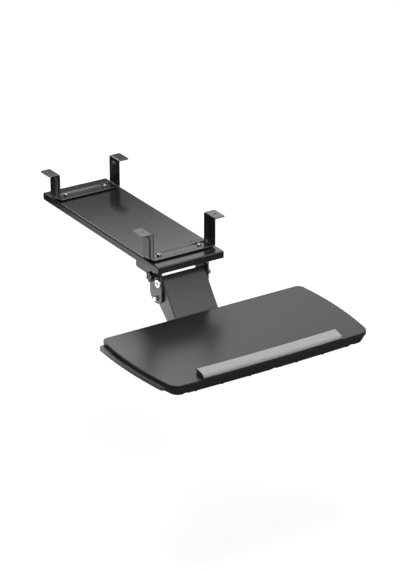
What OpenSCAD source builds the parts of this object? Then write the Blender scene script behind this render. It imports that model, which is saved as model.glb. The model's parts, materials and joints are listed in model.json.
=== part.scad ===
// Keyboard tray that hangs under a desk on a sliding, swivelling, level-keeping arm.
// The origin is the centre of the four desk screws, on the desk's underside. The user sits at -Y.

/* [Desk hangers] */
// Distance between the front and the rear hanger's screws
hanger_pitch = 481; // [430:1:520]
// Distance between the two screws of one hanger
foot_hole_span = 220; // [214:1:228]
// Diameter of the screw holes in the feet
foot_hole_d = 5.5; // [4.5:0.1:6.5]
// Height from the track plate's top up to the desk
hanger_drop = 80; // [60:1:110]
// Width of the pressed strap
strap_w = 53; // [46:1:60]
// Sheet thickness of the strap
strap_t = 2.5; // [2:0.1:3]
// Distance between the outer faces of a hanger's legs
leg_span = 189.5; // [185:0.5:192]
// Distance between the tips of a hanger's feet
foot_span = 250; // [240:1:262]
// Width of the bead pressed into the strap
bead_w = 30; // [24:1:32]
// Depth of the bead
bead_d = 3; // [2:0.1:3.5]
// Distance from the desk down to the bead's upper end
bead_end = 11; // [8:1:24]
// Bend radius on the outside of the strap
strap_bend = 4; // [3.5:0.1:6]

/* [Track plate] */
// Width of the track plate
plate_w = 200; // [196:1:206]
// Length of the track plate
plate_l = 600; // [580:1:640]
// Height of the folded rim
plate_h = 19; // [19:0.5:24]
// Sheet thickness of the plate
plate_t = 2.5; // [2:0.1:2.6]
// Bend radius of the rim
plate_bend = 3; // [2.8:0.1:6]
// Diameter of the spare holes
spare_hole_d = 5; // [4:0.1:6]
// Distance of the spare holes from the middle line
spare_hole_x = 60; // [50:1:62]
// Distance of the inner spare holes from the plate's middle
spare_hole_inner = 202; // [180:1:206]
// Distance of the outer spare holes from the plate's middle
spare_hole_outer = 269; // [266:1:280]
// Distance of the strap screws from the middle line
strap_screw_x = 61; // [52:1:62]
// Diameter of the strap screws
strap_screw_d = 6; // [5:0.5:6]

/* [Rails] */
// Sheet thickness of the rails
rail_t = 2; // [1.5:0.1:2.2]
// Width of the rail's upper flange
rail_top_w = 30; // [24:0.5:31]
// Width of the rail's lower lip
rail_lip_w = 19.5; // [16:0.5:21]
// Length of the rubber bumpers
bumper_l = 12.5; // [8:0.5:15]

/* [Carriage] */
// Length of the carriage
carriage_l = 134; // [132:1:138]
// Thickness of the carriage plate
carriage_t = 3; // [2.5:0.1:3.5]
// Length of each nylon glide
glide_l = 30; // [22:1:36]
// Distance of the swivel axis behind the plate's front edge
swivel_back = 100; // [94:1:102]
// Diameter of the swivel bolt
swivel_bolt_d = 12; // [10:0.5:12]
// Outer diameter of the swivel ring
swivel_ring_d = 84; // [70:1:90]
// Thickness of the swivel ring
swivel_ring_h = 10.7; // [9:0.1:14]

/* [Swivel bracket] */
// Width over the bracket's two sides
bracket_w = 145.2; // [144:0.1:150]
// Sheet thickness of the bracket
bracket_t = 3; // [2.5:0.1:3.2]
// Distance from the plate's front edge back to the bracket
bracket_front = 30.7; // [28:0.1:31]
// Distance from the plate's front edge back to the bracket's rear end
bracket_back = 156; // [150:1:160]
// Height of the bracket's sides
bracket_h = 35.3; // [32:0.1:38]
// Width of the cheeks, front to back
cheek_w = 56.3; // [56:0.1:60]
// Radius of the cheeks' round lower ends
cheek_r = 30; // [29.5:0.1:32]
// Distance of the cheeks' rounding below the upper pivot
cheek_drop = 30.6; // [30:0.1:36]
// Thickness of the black friction plates
friction_t = 3.3; // [3:0.1:3.4]

/* [Arm] */
// Distance of the upper pivot behind the plate's front edge
pivot_back = 44.6; // [44:0.1:46]
// Distance of the upper pivot below the plate's top
pivot_drop = 66.9; // [66:0.1:70]
// Distance of the lower pivot behind the upper one
link_step_back = 11; // [8:0.5:12]
// Distance of the lower pivot below the upper one
link_step_down = 47.1; // [46:0.1:50]
// Length of the arm from pivot to pivot
arm_l = 130; // [120:1:150]
// Slope of the arm below the level as stored
arm_angle = 52.9; // [50:0.1:55]
// Width over the arm's two sides
arm_w = 132; // [130:0.1:132]
// Sheet thickness of the arm
arm_t = 2.5; // [2:0.1:2.6]
// Distance from the pivot line to the arm's front face
arm_face = 12.4; // [12:0.1:13]
// Radius of the arm's upper nose
arm_nose_r = 16.5; // [16:0.1:17.5]
// Depth of the arm's sides behind the pivot line at the lower pivot
arm_side_low = 27.4; // [25:0.1:28]
// Depth of the arm's sides behind the pivot line at the stop shoulder
arm_side_high = 46; // [46:0.1:48]
// Bend radius of the arm's front edges
arm_bend = 4; // [3.5:0.1:5]
// Diameter of the upper pivot bolt
upper_bolt_d = 12; // [10:0.5:12]
// Diameter of the upper pivot bolt's head
upper_head_d = 23; // [20:0.5:24]
// Diameter of the lower pivot bolt and the head's bolts
lower_bolt_d = 8; // [8:0.5:8]
// Diameter of the lower pivot bolt's head
lower_head_d = 14.5; // [13:0.1:16]
// Diameter of the sleeves that the arm rests on
stop_sleeve_d = 14; // [13:0.5:14]

/* [Lower link] */
// Distance between the outer faces of the two link bars
link_span = 108; // [100:1:110]
// Thickness of a link bar
link_t = 4; // [3:0.5:5]
// Width of a link bar
link_w = 15; // [14:0.5:15]

/* [Lock knob] */
// Distance of the knob behind the upper pivot
knob_back = 18.6; // [18:0.1:20]
// Distance of the knob above the upper pivot
knob_up = 15.2; // [15:0.1:16]
// Diameter over the knob's lobes
knob_d = 29; // [24:0.5:32]
// Number of lobes
knob_lobes = 6; // [5:1:8]
// Thickness of the star
knob_star_h = 10.5; // [8:0.5:12]
// Diameter of the knob's screw
knob_screw_d = 8; // [6:0.5:8]

/* [Tilt head] */
// Distance of the tilt axis in front of the arm's lower pivot
tilt_front = 51.2; // [50:0.1:56]
// Height of the tilt axis above the arm's lower pivot
tilt_up = 12.6; // [12:0.1:14]
// Sheet thickness of the head and the tilt plate
head_t = 3; // [2.5:0.1:3.2]
// Length of the tilt plate under the board
tilt_plate_l = 176; // [150:1:200]
// Height of the tilt plate's folded sides
tilt_rim = 12.5; // [10:0.5:13]

/* [Tray board] */
// Height of the board's top above the tilt axis
board_up = 32; // [32:0.1:36]
// Distance of the board's rear edge behind the tilt axis
board_back = 31.1; // [28:0.1:32]
// Depth of the board along its sides
board_depth = 323.7; // [310:0.1:340]
// Half width of the board at its rear edge
board_half_back = 301.4; // [295:0.1:310]
// Half width of the board at its front edge
board_half_front = 288.3; // [280:0.1:294]
// How far the sides bow out
side_bow = 13.6; // [10:0.1:16]
// How far the front edge bows out
front_bow = 6.1; // [4:0.1:8]
// Radius of the rear corners
back_corner_r = 16.4; // [16:0.1:22]
// Radius of the front corners
front_corner_r = 27.5; // [24:0.1:32]
// Thickness of the board
board_t = 9.5; // [9:0.1:12]
// Thickness of the edge band
band_t = 1.5; // [1:0.1:2]

/* [Lower shells] */
// Height of the shells' skirt below the board
skirt_h = 17.5; // [16:0.1:19]
// Wall of the shells
shell_wall = 2.5; // [2:0.1:3]
// Thickness of the shells' bottom flange
shell_floor = 2; // [1.8:0.1:2]
// Width of the shells' bottom flange
flange_w = 14; // [13:0.5:16]
// How far the right side leans in towards the bottom
side_lean = 12; // [8:0.5:13]
// How far the left side leans in towards the bottom
left_lean = 5.5; // [3:0.5:8]
// How far the front leans in towards the bottom
front_lean = 4; // [2:0.5:5]
// Distance of the left notch in the skirt from the middle
notch_left = 255; // [244:1:262]
// Distance of the right notch in the skirt from the middle
notch_right = 238; // [234:1:256]
// Width of the notches in the skirt
notch_w = 12; // [8:1:14]
// Height of the notches in the skirt
notch_h = 1.8; // [1:0.1:2]
// Half width of the opening for the head in the rear skirt
head_opening = 92; // [86:1:100]
// Gap at the seam between the two shells
seam_gap = 0.6; // [0.4:0.1:1]

/* [Mouse tray] */
// How far the mouse tray's outer end stands out beyond the board's side corners
mouse_out = 14.5; // [12:0.1:16]
// How far the mouse tray's outer edge bows out
mouse_bow = 7.9; // [6:0.1:10]
// Distance of the mouse tray's wide outer end from the board's rear edge
mouse_end_back = 9.4; // [9:0.1:14]
// Distance of the mouse tray from the board's front side corners
mouse_front_in = 35.2; // [32:0.1:44]
// How much deeper the mouse tray is along its outer edge
mouse_lip = 2; // [1:0.1:3]
// Distance of the mouse tray's inner end from the middle
mouse_inner_x = 80; // [78:1:95]
// Thickness of the mouse tray
mouse_t = 7.5; // [7:0.1:7.6]
// Gap between the board and the mouse tray
mouse_gap = 2.5; // [2.3:0.1:3]
// Corner radius of the mouse tray
mouse_corner_r = 9; // [6:0.5:12]
// Wall of the mouse tray's rim and ribs
mouse_wall = 2.5; // [2:0.1:3]

/* [Palm rest] */
// Length of the palm rest
palm_l = 414; // [380:1:440]
// Depth of the palm rest, front to back
palm_depth = 33.5; // [26:0.5:38]
// Height of the palm rest at its rear edge
palm_back_h = 15.7; // [14:0.1:20]
// Height of the palm rest at its front edge
palm_front_h = 10; // [8:0.5:14]
// Thickness of the plate under the pad
palm_base_t = 2; // [1.5:0.1:3]
// Distance of the palm rest from the board's front edge
palm_margin = 2.6; // [2:0.1:5]

/* [Clearances] */
// Radial clearance of a running fit
run_gap = 0.05; // [0.02:0.01:0.1]
// Gap between faces that move past each other
slip_gap = 0.3; // [0.2:0.05:0.35]
// Radial clearance of a fixed bolt in its hole
bolt_gap = 0.2; // [0.1:0.05:0.3]

/* [Hidden] */
$fn = 64;

// A cut runs this far past the face it opens
over = 1;
// Length of anything that only has to cut right through
far = 1000;
// Thickness of the slices that a tapered shell is spanned between
slice = 0.01;

plate_top = -hanger_drop;
plate_under = plate_top - plate_t;
plate_front = -plate_l / 2;
rim_bottom = plate_top - plate_h;
rim_inner = plate_w / 2 - plate_t;

leg_mid = (leg_span - strap_t) / 2;
strap_base_z = plate_top + bead_d + strap_t / 2;
foot_corner_r = 5;
strap_screw_head_h = 6;
strap_screw_head_d = 11;
strap_nut_h = 4;
strap_nut_d = 11.5;

rail_l = plate_l - 2 * plate_bend;
rail_corner = plate_bend - plate_t;
rail_top = plate_under;
rail_bottom = rim_bottom;
rail_inner_top = rail_top - rail_t;
rail_inner_bottom = rail_bottom + rail_t;
rail_web_x = rim_inner - rail_t;
bumper_gap = slip_gap;
rail_end = rail_l / 2;
slide_travel = rail_l - 2 * bumper_l - 2 * bumper_gap - carriage_l;

carriage_front = -rail_end + bumper_l + bumper_gap;
carriage_back = carriage_front + carriage_l;
carriage_waist = 72;
carriage_z = (rail_inner_top + rail_inner_bottom) / 2 - 1;
glide_inner_x = rim_inner - rail_lip_w + 2;
carriage_wing = glide_inner_x + 10;
glide_r = 3;

swivel_y = plate_front + swivel_back;
ring_top = carriage_z - carriage_t / 2;
web_top = ring_top - swivel_ring_h - slip_gap;
ring_hole_d = 40;
swivel_head_h = 5;
swivel_head_d = 21;
washer_t = 2.5;
washer_d = 32;
swivel_nut_h = 10;
swivel_nut_d = 21;

bracket_half = bracket_w / 2;
bracket_inner = bracket_half - bracket_t;
bracket_bend = 5;
bracket_y0 = plate_front + bracket_front;
bracket_y1 = plate_front + bracket_back;
cheek_y1 = bracket_y0 + cheek_w;
pivot_y = plate_front + pivot_back;
pivot_z = plate_top - pivot_drop;
low_y = pivot_y + link_step_back;
low_z = pivot_z - link_step_down;
cheek_c = [cheek_y1 - cheek_r, pivot_z - cheek_drop];
bracket_corner_r = 6;
relief_w = 34;
relief_d = 22;

upper_head_h = 4.3;
socket_d = 11;
socket_depth = 3.4;
upper_nut_h = 9;
upper_nut_d = 21;
lower_head_h = 6.4;
lower_socket_d = 4.6;
lower_socket_depth = 2;
lower_nut_h = 6.5;
lower_nut_d = 14.6;

arm_half = arm_w / 2;
nose_off = arm_nose_r - arm_face;
arm_end_r = (arm_face + arm_side_low) / 2;
arm_tube_d = 2 * (arm_face - arm_t - slip_gap);
arm_end_off = arm_end_r - arm_face;
head_y = pivot_y - arm_l * cos(arm_angle);
head_z = pivot_z - arm_l * sin(arm_angle);
foot_y = head_y + link_step_back;
foot_z = head_z - link_step_down;
link_reach = norm([link_step_back, link_step_down]);
// The lower pivot seen from the arm, which is drawn hanging straight down
swing = 90 - arm_angle;
low_in_arm = [link_step_back * cos(swing) + link_step_down * sin(swing),
    link_step_back * sin(swing) - link_step_down * cos(swing)];
stop_r = stop_sleeve_d / 2 + slip_gap;
shoulder_s = 42;
side_slope = (arm_side_high - arm_side_low) / (arm_l - shoulder_s);

link_outer = link_span / 2;
link_inner = link_outer - link_t;
link_end_r = 9;

knob_y = pivot_y + knob_back;
knob_z = pivot_z + knob_up;
boss_h = 4;
boss_d = 15;
knob_hub_h = 3.2;
knob_hub_d = 15;
knob_x = bracket_half + boss_h + slip_gap;
lobe_d = 8.5;

head_r_top = 16;
head_r_foot = 14;
head_r_tilt = 15;
tilt_y = head_y - tilt_front;
tilt_z = head_z + tilt_up;
head_web_front = 13;
head_web_drop = 10;
washer_gap = 0.1;
arm_washer_t = bracket_inner - arm_half - 2 * washer_gap;
arm_washer_d = 26;

board_top = tilt_z + board_up;
board_y = tilt_y + board_back;
board_under = -board_t;
back_corner = [board_half_back, 0];
front_corner = [board_half_front, -board_depth];
side_dir = (front_corner - back_corner) / norm(front_corner - back_corner);
side_out = [-side_dir.y, side_dir.x];
side_r = (pow(norm(front_corner - back_corner), 2) / 4 + pow(side_bow, 2)) / (2 * side_bow);
side_c = (back_corner + front_corner) / 2 - side_out * (side_r - side_bow);
front_r = (pow(board_half_front, 2) + pow(front_bow, 2)) / (2 * front_bow);
front_c = [0, front_r - board_depth - front_bow];

tilt_half = bracket_inner - 0.2;
tilt_plate_top = board_under;
tilt_plate_back = -12;
ear_r = 14;
ear_reach = 50;
ear_end_r = 6;
tilt_hole_d = 40;

skirt_bottom = board_under - skirt_h;
flange_top = skirt_bottom + shell_floor;
boss_r = 4;

mouse_rail_t = 2;
mouse_back = flange_w + front_lean + mouse_rail_t + slip_gap + 2.2;
mouse_front = board_depth - mouse_front_in;
mouse_w = mouse_front - mouse_back;
mouse_open_back = -mouse_end_back + 1.2;
mouse_open_front = -mouse_front - 1.2;
mouse_top = board_under - mouse_gap;
mouse_bottom = mouse_top - mouse_t;
mouse_recess = 1.5;
mouse_floor = 2.2;
mouse_rim = 16;
grip_in = 3.6;
grip_back = -79;
grip_l = 56;
grip_w = 14;
grip_depth = 1.8;
slot_in = 5.5;
slot_back = -58;
slot_l = 17;
slot_w = 3.6;
mouse_lip_w = 2.6;
mouse_rail_lip = 10;
mouse_rail_top = 8.5;
mouse_rail_screw = 4.6;
mouse_rail_screw_in = 20;
mouse_rail_x0 = -(min(board_half_back, board_half_front) - flange_w - side_lean - 2);
mouse_rail_x1 = -(mouse_inner_x + 6);
mouse_step_x = mouse_rail_x0 - 4;
// The arc of the mouse tray's outer edge
mouse_p0 = [-(board_half_back + mouse_out), -mouse_end_back];
mouse_p1 = [-(board_half_front + mouse_out), -mouse_front];
mouse_chord = norm(mouse_p1 - mouse_p0);
mouse_dir = (mouse_p1 - mouse_p0) / mouse_chord;
mouse_r = (pow(mouse_chord, 2) / 4 + pow(mouse_bow, 2)) / (2 * mouse_bow);
mouse_c = (mouse_p0 + mouse_p1) / 2 + [-mouse_dir.y, mouse_dir.x] * (mouse_r - mouse_bow);

screw_d = 4;
screw_head_d = 7.5;
screw_head_h = 2.4;
screw_bite = 7;
recess_d = 1;
palm_gap = 0.3;
pad_gap = 0.2;
PAD_STATIONS = 28;
PAD_ROUND = 3;

// Points along an arc, both ends included
function arc(c, r, a0, a1, n) = [for (k = [0:n]) c + r * [cos(a0 + (a1 - a0) * k / n), sin(a0 + (a1 - a0) * k / n)]];
function angle_of(v) = atan2(v.y, v.x);
function flipped(pts) = [for (k = [len(pts) - 1:-1:0]) [-pts[k].x, pts[k].y]];
function tail(pts) = [for (k = [1:len(pts) - 1]) pts[k]];
// Where two circles meet, on the right-hand side of the line between their centres
function meet(c0, r0, c1, r1) =
    let (d = norm(c1 - c0), u = (c1 - c0) / d, a = (r0 * r0 - r1 * r1 + d * d) / (2 * d), h = sqrt(r0 * r0 - a * a))
    c0 + u * a + [u.y, -u.x] * h;

// Half of the board's outline, drawn in from each side by its own inset
function half_outline(side_in, front_in, back_in) =
    let (
        rs = side_r - side_in,
        rf = front_r - front_in,
        rb = max(2, back_corner_r - back_in),
        rc = max(2, front_corner_r - front_in),
        by = -back_in - rb,
        cb = [side_c.x + sqrt(pow(rs - rb, 2) - pow(by - side_c.y, 2)), by],
        cf = meet(side_c, rs - rc, front_c, rf - rc),
        ab = angle_of(cb - side_c),
        af = angle_of(cf - side_c),
        ag = angle_of(cf - front_c)
    )
    concat(
        arc(cb, rb, 90, ab, 6),
        tail(arc(side_c, rs, ab, af, 12)),
        tail(arc(cf, rc, af, ag, 8)),
        tail(arc(front_c, rf, ag, -90, 6))
    );
function outline(side_in, front_in, back_in) =
    let (half = half_outline(side_in, front_in, back_in)) concat(half, tail(flipped(half)));
// Front edge of the board, drawn in by an inset
function front_y(x, inset) = front_c.y - sqrt(pow(front_r - inset, 2) - x * x);

// Outline of a folded strip of sheet: a path thickened on both sides, each bend rounded
function offset_point(path, k, o) =
    let (
        n = len(path),
        before = k > 0 ? path[k] - path[k - 1] : path[k + 1] - path[k],
        after = k < n - 1 ? path[k + 1] - path[k] : before,
        u = before / norm(before),
        v = after / norm(after),
        m = [-u.y - v.y, u.x + v.x]
    )
    path[k] + m * o * 2 / (m * m);
function turn_side(p, q, s) = sign((q.x - p.x) * (s.y - q.y) - (q.y - p.y) * (s.x - q.x));
function rounded(p, q, s, r, n) =
    let (
        a = (p - q) / norm(p - q),
        b = (s - q) / norm(s - q),
        half = acos(a * b) / 2,
        c = q + (a + b) / norm(a + b) * r / sin(half),
        a0 = angle_of(q + a * r / tan(half) - c),
        sweep = (180 - 2 * half) * turn_side(p, q, s)
    )
    arc(c, r, a0, a0 + sweep, n);
function strip_side(path, o, bend) =
    let (n = len(path), pts = [for (k = [0:n - 1]) offset_point(path, k, o)])
    [for (k = [0:n - 1]) each (k == 0 || k == n - 1) ? [pts[k]] :
        rounded(pts[k - 1], pts[k], pts[k + 1],
            max(0.6, bend - o * turn_side(pts[k - 1], pts[k], pts[k + 1])), 5)];
function strip(path, t, bend) =
    let (a = strip_side(path, t / 2, bend), b = strip_side(path, -t / 2, bend))
    concat(a, [for (k = [len(b) - 1:-1:0]) b[k]]);

// Extrudes a profile drawn in X and Z along Y, centred
module along_y(l) {
    rotate([90, 0, 0]) linear_extrude(l, center = true) children();
}
// Extrudes a side view drawn in Y and Z along X, between two places
module along_x(x0, x1) {
    translate([x0, 0, 0]) rotate([90, 0, 90]) linear_extrude(x1 - x0) children();
}
// Cylinder along X between two places, at a point of the side view
module rod(x0, x1, y, z, d) {
    translate([x0, y, z]) rotate([0, 90, 0]) cylinder(h = x1 - x0, d = d);
}
module hex_rod(x0, x1, y, z, d) {
    translate([x0, y, z]) rotate([0, 90, 0]) cylinder(h = x1 - x0, d = d, $fn = 6);
}
module both_sides() {
    children();
    mirror([1, 0, 0]) children();
}
// Square with rounded corners
module rounded_square(size, r) {
    for (x = [r, size.x - r], y = [r, size.y - r]) translate([x, y]) circle(r);
    translate([r, 0]) square([size.x - 2 * r, size.y]);
    translate([0, r]) square([size.x, size.y - 2 * r]);
}
module centred_rounded_square(w, l, r) {
    translate([-w / 2, -l / 2]) rounded_square([w, l], r);
}
// A plate with the outline of a belt laid clockwise round three circles. Its straight sides
// lie just inside the circles, so that the plate is one piece.
belt_pull = 0.05;
function belt_side(c0, r0, c1, r1) =
    let (v = c1 - c0, a = angle_of(v) + acos((r0 - r1) / norm(v)), u = [cos(a), sin(a)])
    [c0 + u * (r0 - belt_pull), c1 + u * (r1 - belt_pull)];
module belt(x0, x1, c, r) {
    for (k = [0:2]) rod(x0, x1, c[k].x, c[k].y, 2 * r[k]);
    along_x(x0, x1) polygon([for (k = [0:2]) each belt_side(c[k], r[k], c[(k + 1) % 3], r[(k + 1) % 3])]);
}

module place_arm() {
    translate([0, pivot_y, pivot_z]) rotate([arm_angle - 90, 0, 0]) children();
}
module place_tray() {
    translate([0, board_y, board_top]) children();
}

// Desk hanger
function hanger_path(out) = [
    [-foot_span / 2, -strap_t / 2],
    [-leg_mid - out, -strap_t / 2],
    [-leg_mid - out, strap_base_z - out],
    [leg_mid + out, strap_base_z - out],
    [leg_mid + out, -strap_t / 2],
    [foot_span / 2, -strap_t / 2]
];
function bead_path(out) = [for (k = [1:4]) hanger_path(out)[k]];
bead_fill_t = strap_t + bead_d;
bead_cut_t = bead_d + over;

// The bead's outline on the legs: a stadium whose round end points at the desk
module bead_outline(w) {
    translate([0, -bead_end - w / 2]) circle(w / 2);
    translate([-w / 2, -hanger_drop - bead_d]) square([w, hanger_drop + bead_d - bead_end - w / 2]);
}
module hanger() {
    difference() {
        union() {
            intersection() {
                along_y(strap_w) polygon(strip(hanger_path(0), strap_t, strap_bend));
                translate([0, 0, -far / 2]) linear_extrude(far)
                    centred_rounded_square(foot_span, strap_w, foot_corner_r);
            }
            intersection() {
                along_y(bead_w) polygon(strip(bead_path(bead_d / 2), bead_fill_t, strap_bend));
                along_x(-far / 2, far / 2) bead_outline(bead_w);
            }
        }
        intersection() {
            along_y(bead_w) polygon(strip(bead_path((bead_d - strap_t - over) / 2), bead_cut_t, strap_bend));
            along_x(-far / 2, far / 2) bead_outline(bead_w - 2 * strap_t);
        }
        for (x = [-1, 1]) translate([x * foot_hole_span / 2, 0, -strap_t - over])
            cylinder(h = strap_t + 2 * over, d = foot_hole_d);
        for (x = [-1, 1]) translate([x * strap_screw_x, 0, plate_top - over])
            cylinder(h = strap_t + 2 * over, d = strap_screw_d + 2 * bolt_gap);
    }
}
module front_hanger() {
    color("dimgray") translate([0, -hanger_pitch / 2, 0]) hanger();
}
module rear_hanger() {
    color("dimgray") translate([0, hanger_pitch / 2, 0]) hanger();
}
module at_strap_screws() {
    for (x = [-1, 1], y = [-1, 1]) translate([x * strap_screw_x, y * hanger_pitch / 2, 0]) children();
}
module strap_screws() {
    color("silver") at_strap_screws() {
        translate([0, 0, plate_top + strap_t]) difference() {
            cylinder(h = strap_screw_head_h, d = strap_screw_head_d);
            translate([0, 0, strap_screw_head_h / 2]) cylinder(h = strap_screw_head_h, d = 6, $fn = 6);
        }
        translate([0, 0, plate_under - strap_nut_h - 1]) cylinder(h = strap_nut_h + 1 + plate_t + strap_t, d = strap_screw_d);
    }
}
module strap_nuts() {
    color("silver") at_strap_screws() translate([0, 0, plate_under - strap_nut_h]) difference() {
        cylinder(h = strap_nut_h, d = strap_nut_d, $fn = 6);
        translate([0, 0, -over]) cylinder(h = strap_nut_h + 2 * over, d = strap_screw_d + 2 * run_gap);
    }
}

// Track plate: a shallow pan folded down all round
module pan_solid(w, l, top, bottom, r) {
    intersection() {
        along_y(l) translate([-w / 2, top - far]) rounded_square([w, far], r);
        along_x(-w / 2, w / 2) translate([-l / 2, top - far]) rounded_square([l, far], r);
        translate([0, 0, bottom]) linear_extrude(top - bottom) centred_rounded_square(w, l, r);
    }
}
module mounting_plate() {
    color("dimgray") difference() {
        pan_solid(plate_w, plate_l, plate_top, rim_bottom, plate_bend);
        pan_solid(plate_w - 2 * plate_t, plate_l - 2 * plate_t, plate_under, rim_bottom - over, plate_bend - plate_t);
        for (x = [-1, 1], y = [-spare_hole_outer, -spare_hole_inner, 0, spare_hole_inner, spare_hole_outer])
            translate([x * spare_hole_x, y, plate_under - over]) cylinder(h = plate_t + 2 * over, d = spare_hole_d);
        at_strap_screws() translate([0, 0, plate_under - over])
            cylinder(h = plate_t + 2 * over, d = strap_screw_d + 2 * bolt_gap);
    }
}

// C-shaped rail along one side of the track
module rail() {
    along_y(rail_l) polygon([
        [rim_inner - rail_top_w, rail_top], [rim_inner - rail_corner, rail_top], [rim_inner, rail_top - rail_corner],
        [rim_inner, rail_bottom], [rim_inner - rail_lip_w, rail_bottom],
        [rim_inner - rail_lip_w, rail_inner_bottom], [rail_web_x, rail_inner_bottom],
        [rail_web_x, rail_inner_top], [rim_inner - rail_top_w, rail_inner_top]
    ]);
}
module right_rail() {
    color("silver") rail();
}
module left_rail() {
    color("silver") mirror([1, 0, 0]) rail();
}
module rail_bumpers() {
    inset = 0.2;
    color("black") both_sides() for (y = [-rail_end, rail_end - bumper_l])
        translate([glide_inner_x, y, rail_inner_bottom + inset])
            cube([rail_web_x - glide_inner_x - inset, bumper_l, rail_inner_top - rail_inner_bottom - 2 * inset]);
}

// Carriage plate with four wings that the nylon glides clip on
module carriage_plate() {
    color("gray") translate([0, 0, carriage_z - carriage_t / 2]) difference() {
        linear_extrude(carriage_t) difference() {
            union() {
                translate([-carriage_waist, carriage_front + 2])
                    rounded_square([2 * carriage_waist, carriage_l - 4], 8);
                for (y = [carriage_front + 4, carriage_back - glide_l + 4])
                    translate([-carriage_wing, y]) square([2 * carriage_wing, glide_l - 8]);
            }
            for (x = [-1, 1]) translate([x * 50, swivel_y]) circle(12);
        }
        translate([0, swivel_y, -over]) cylinder(h = carriage_t + 2 * over, d = swivel_bolt_d + 2 * bolt_gap);
    }
}
module glides() {
    gap = 0.15;
    h = rail_inner_top - rail_inner_bottom - 2 * gap;
    color("white") both_sides() for (y = [carriage_front, carriage_back - glide_l]) difference() {
        along_x(glide_inner_x, rail_web_x - gap)
            translate([y, rail_inner_bottom + gap]) rounded_square([glide_l, h], glide_r);
        translate([0, y + 4 - gap / 2, carriage_z - carriage_t / 2 - gap / 2])
            cube([carriage_wing + gap, glide_l - 8 + gap, carriage_t + gap]);
    }
}
module swivel_ring() {
    color("white") translate([0, swivel_y, ring_top - swivel_ring_h]) difference() {
        cylinder(h = swivel_ring_h, d = swivel_ring_d, $fn = 96);
        translate([0, 0, -over]) cylinder(h = swivel_ring_h + 2 * over, d = ring_hole_d);
    }
}
module swivel_bolt() {
    color("silver") translate([0, swivel_y, 0]) {
        translate([0, 0, ring_top + carriage_t]) cylinder(h = swivel_head_h, d = swivel_head_d, $fn = 6);
        translate([0, 0, web_top - bracket_t - washer_t - swivel_nut_h - 2])
            cylinder(h = ring_top + carriage_t - web_top + bracket_t + washer_t + swivel_nut_h + 2, d = swivel_bolt_d);
    }
}
module swivel_washer() {
    color("silver") translate([0, swivel_y, web_top - bracket_t - washer_t - washer_gap]) difference() {
        cylinder(h = washer_t, d = washer_d);
        translate([0, 0, -over]) cylinder(h = washer_t + 2 * over, d = swivel_bolt_d + 2 * run_gap);
    }
}
module swivel_nut() {
    color("silver") translate([0, swivel_y, web_top - bracket_t - washer_t - washer_gap - swivel_nut_h]) difference() {
        cylinder(h = swivel_nut_h, d = swivel_nut_d, $fn = 6);
        translate([0, 0, -over]) cylinder(h = swivel_nut_h + 2 * over, d = swivel_bolt_d + 2 * run_gap);
    }
}

// Side view of the swivel bracket: a low side wall and the tall round-ended cheek
module cheek_tongue(top_z) {
    intersection() {
        translate(cheek_c) circle(cheek_r);
        translate([bracket_y0, cheek_c.y - cheek_r]) square([cheek_w, cheek_r]);
    }
    translate([bracket_y0, cheek_c.y]) square([cheek_w, top_z - cheek_c.y]);
}
module bracket_side() {
    side_bottom = web_top - bracket_h;
    r = bracket_corner_r;
    cheek_tongue(web_top);
    translate([bracket_y0, side_bottom + r]) square([bracket_y1 - bracket_y0, bracket_h - r]);
    translate([bracket_y0, side_bottom]) square([bracket_y1 - bracket_y0 - r, bracket_h]);
    translate([bracket_y1 - r, side_bottom + r]) circle(r);
    // Fillet where the cheek leaves the side wall
    difference() {
        translate([cheek_y1, side_bottom - r]) square([r, r]);
        translate([cheek_y1 + r, side_bottom - r]) circle(r);
    }
}
module swivel_bracket() {
    depth = far;
    color("dimgray") difference() {
        intersection() {
            along_x(-bracket_half, bracket_half) bracket_side();
            along_y(far) translate([-bracket_half, web_top - depth])
                rounded_square([bracket_w, depth], bracket_bend);
        }
        along_y(far) translate([-bracket_inner, web_top - bracket_t - depth])
            rounded_square([2 * bracket_inner, depth], bracket_bend - bracket_t);
        translate([0, swivel_y, web_top - bracket_t - over])
            cylinder(h = bracket_t + 2 * over, d = swivel_bolt_d + 2 * run_gap);
        rod(-far / 2, far / 2, pivot_y, pivot_z, upper_bolt_d + 2 * bolt_gap);
        rod(-far / 2, far / 2, low_y, low_z, lower_bolt_d + 2 * bolt_gap);
        rod(-far / 2, 0, knob_y, knob_z, knob_screw_d + 2 * run_gap);
    }
}
// Black plates between the cheeks and the arm, cut to the cheeks' outline
module friction_plates() {
    x0 = bracket_inner - friction_t;
    color("black") both_sides() difference() {
        along_x(x0, bracket_inner) cheek_tongue(knob_z + boss_d / 2);
        rod(x0 - over, bracket_inner + over, pivot_y, pivot_z, upper_bolt_d + 2 * bolt_gap);
        rod(x0 - over, bracket_inner + over, low_y, low_z, lower_bolt_d + 2 * bolt_gap);
    }
}
module upper_pivot_bolt() {
    color("silver") {
        difference() {
            union() {
                rod(-bracket_half - upper_head_h, -bracket_half, pivot_y, pivot_z, upper_head_d);
                rod(-bracket_half, bracket_half + upper_nut_h + 2, pivot_y, pivot_z, upper_bolt_d);
            }
            hex_rod(-bracket_half - upper_head_h - over, -bracket_half - upper_head_h + socket_depth,
                pivot_y, pivot_z, socket_d);
        }
    }
}
module nut_on_x(x, y, z, h, d, bolt_d) {
    color("silver") difference() {
        hex_rod(x, x + h, y, z, d);
        rod(x - over, x + h + over, y, z, bolt_d + 2 * run_gap);
    }
}
module upper_pivot_nut() {
    nut_on_x(bracket_half, pivot_y, pivot_z, upper_nut_h, upper_nut_d, upper_bolt_d);
}
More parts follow.
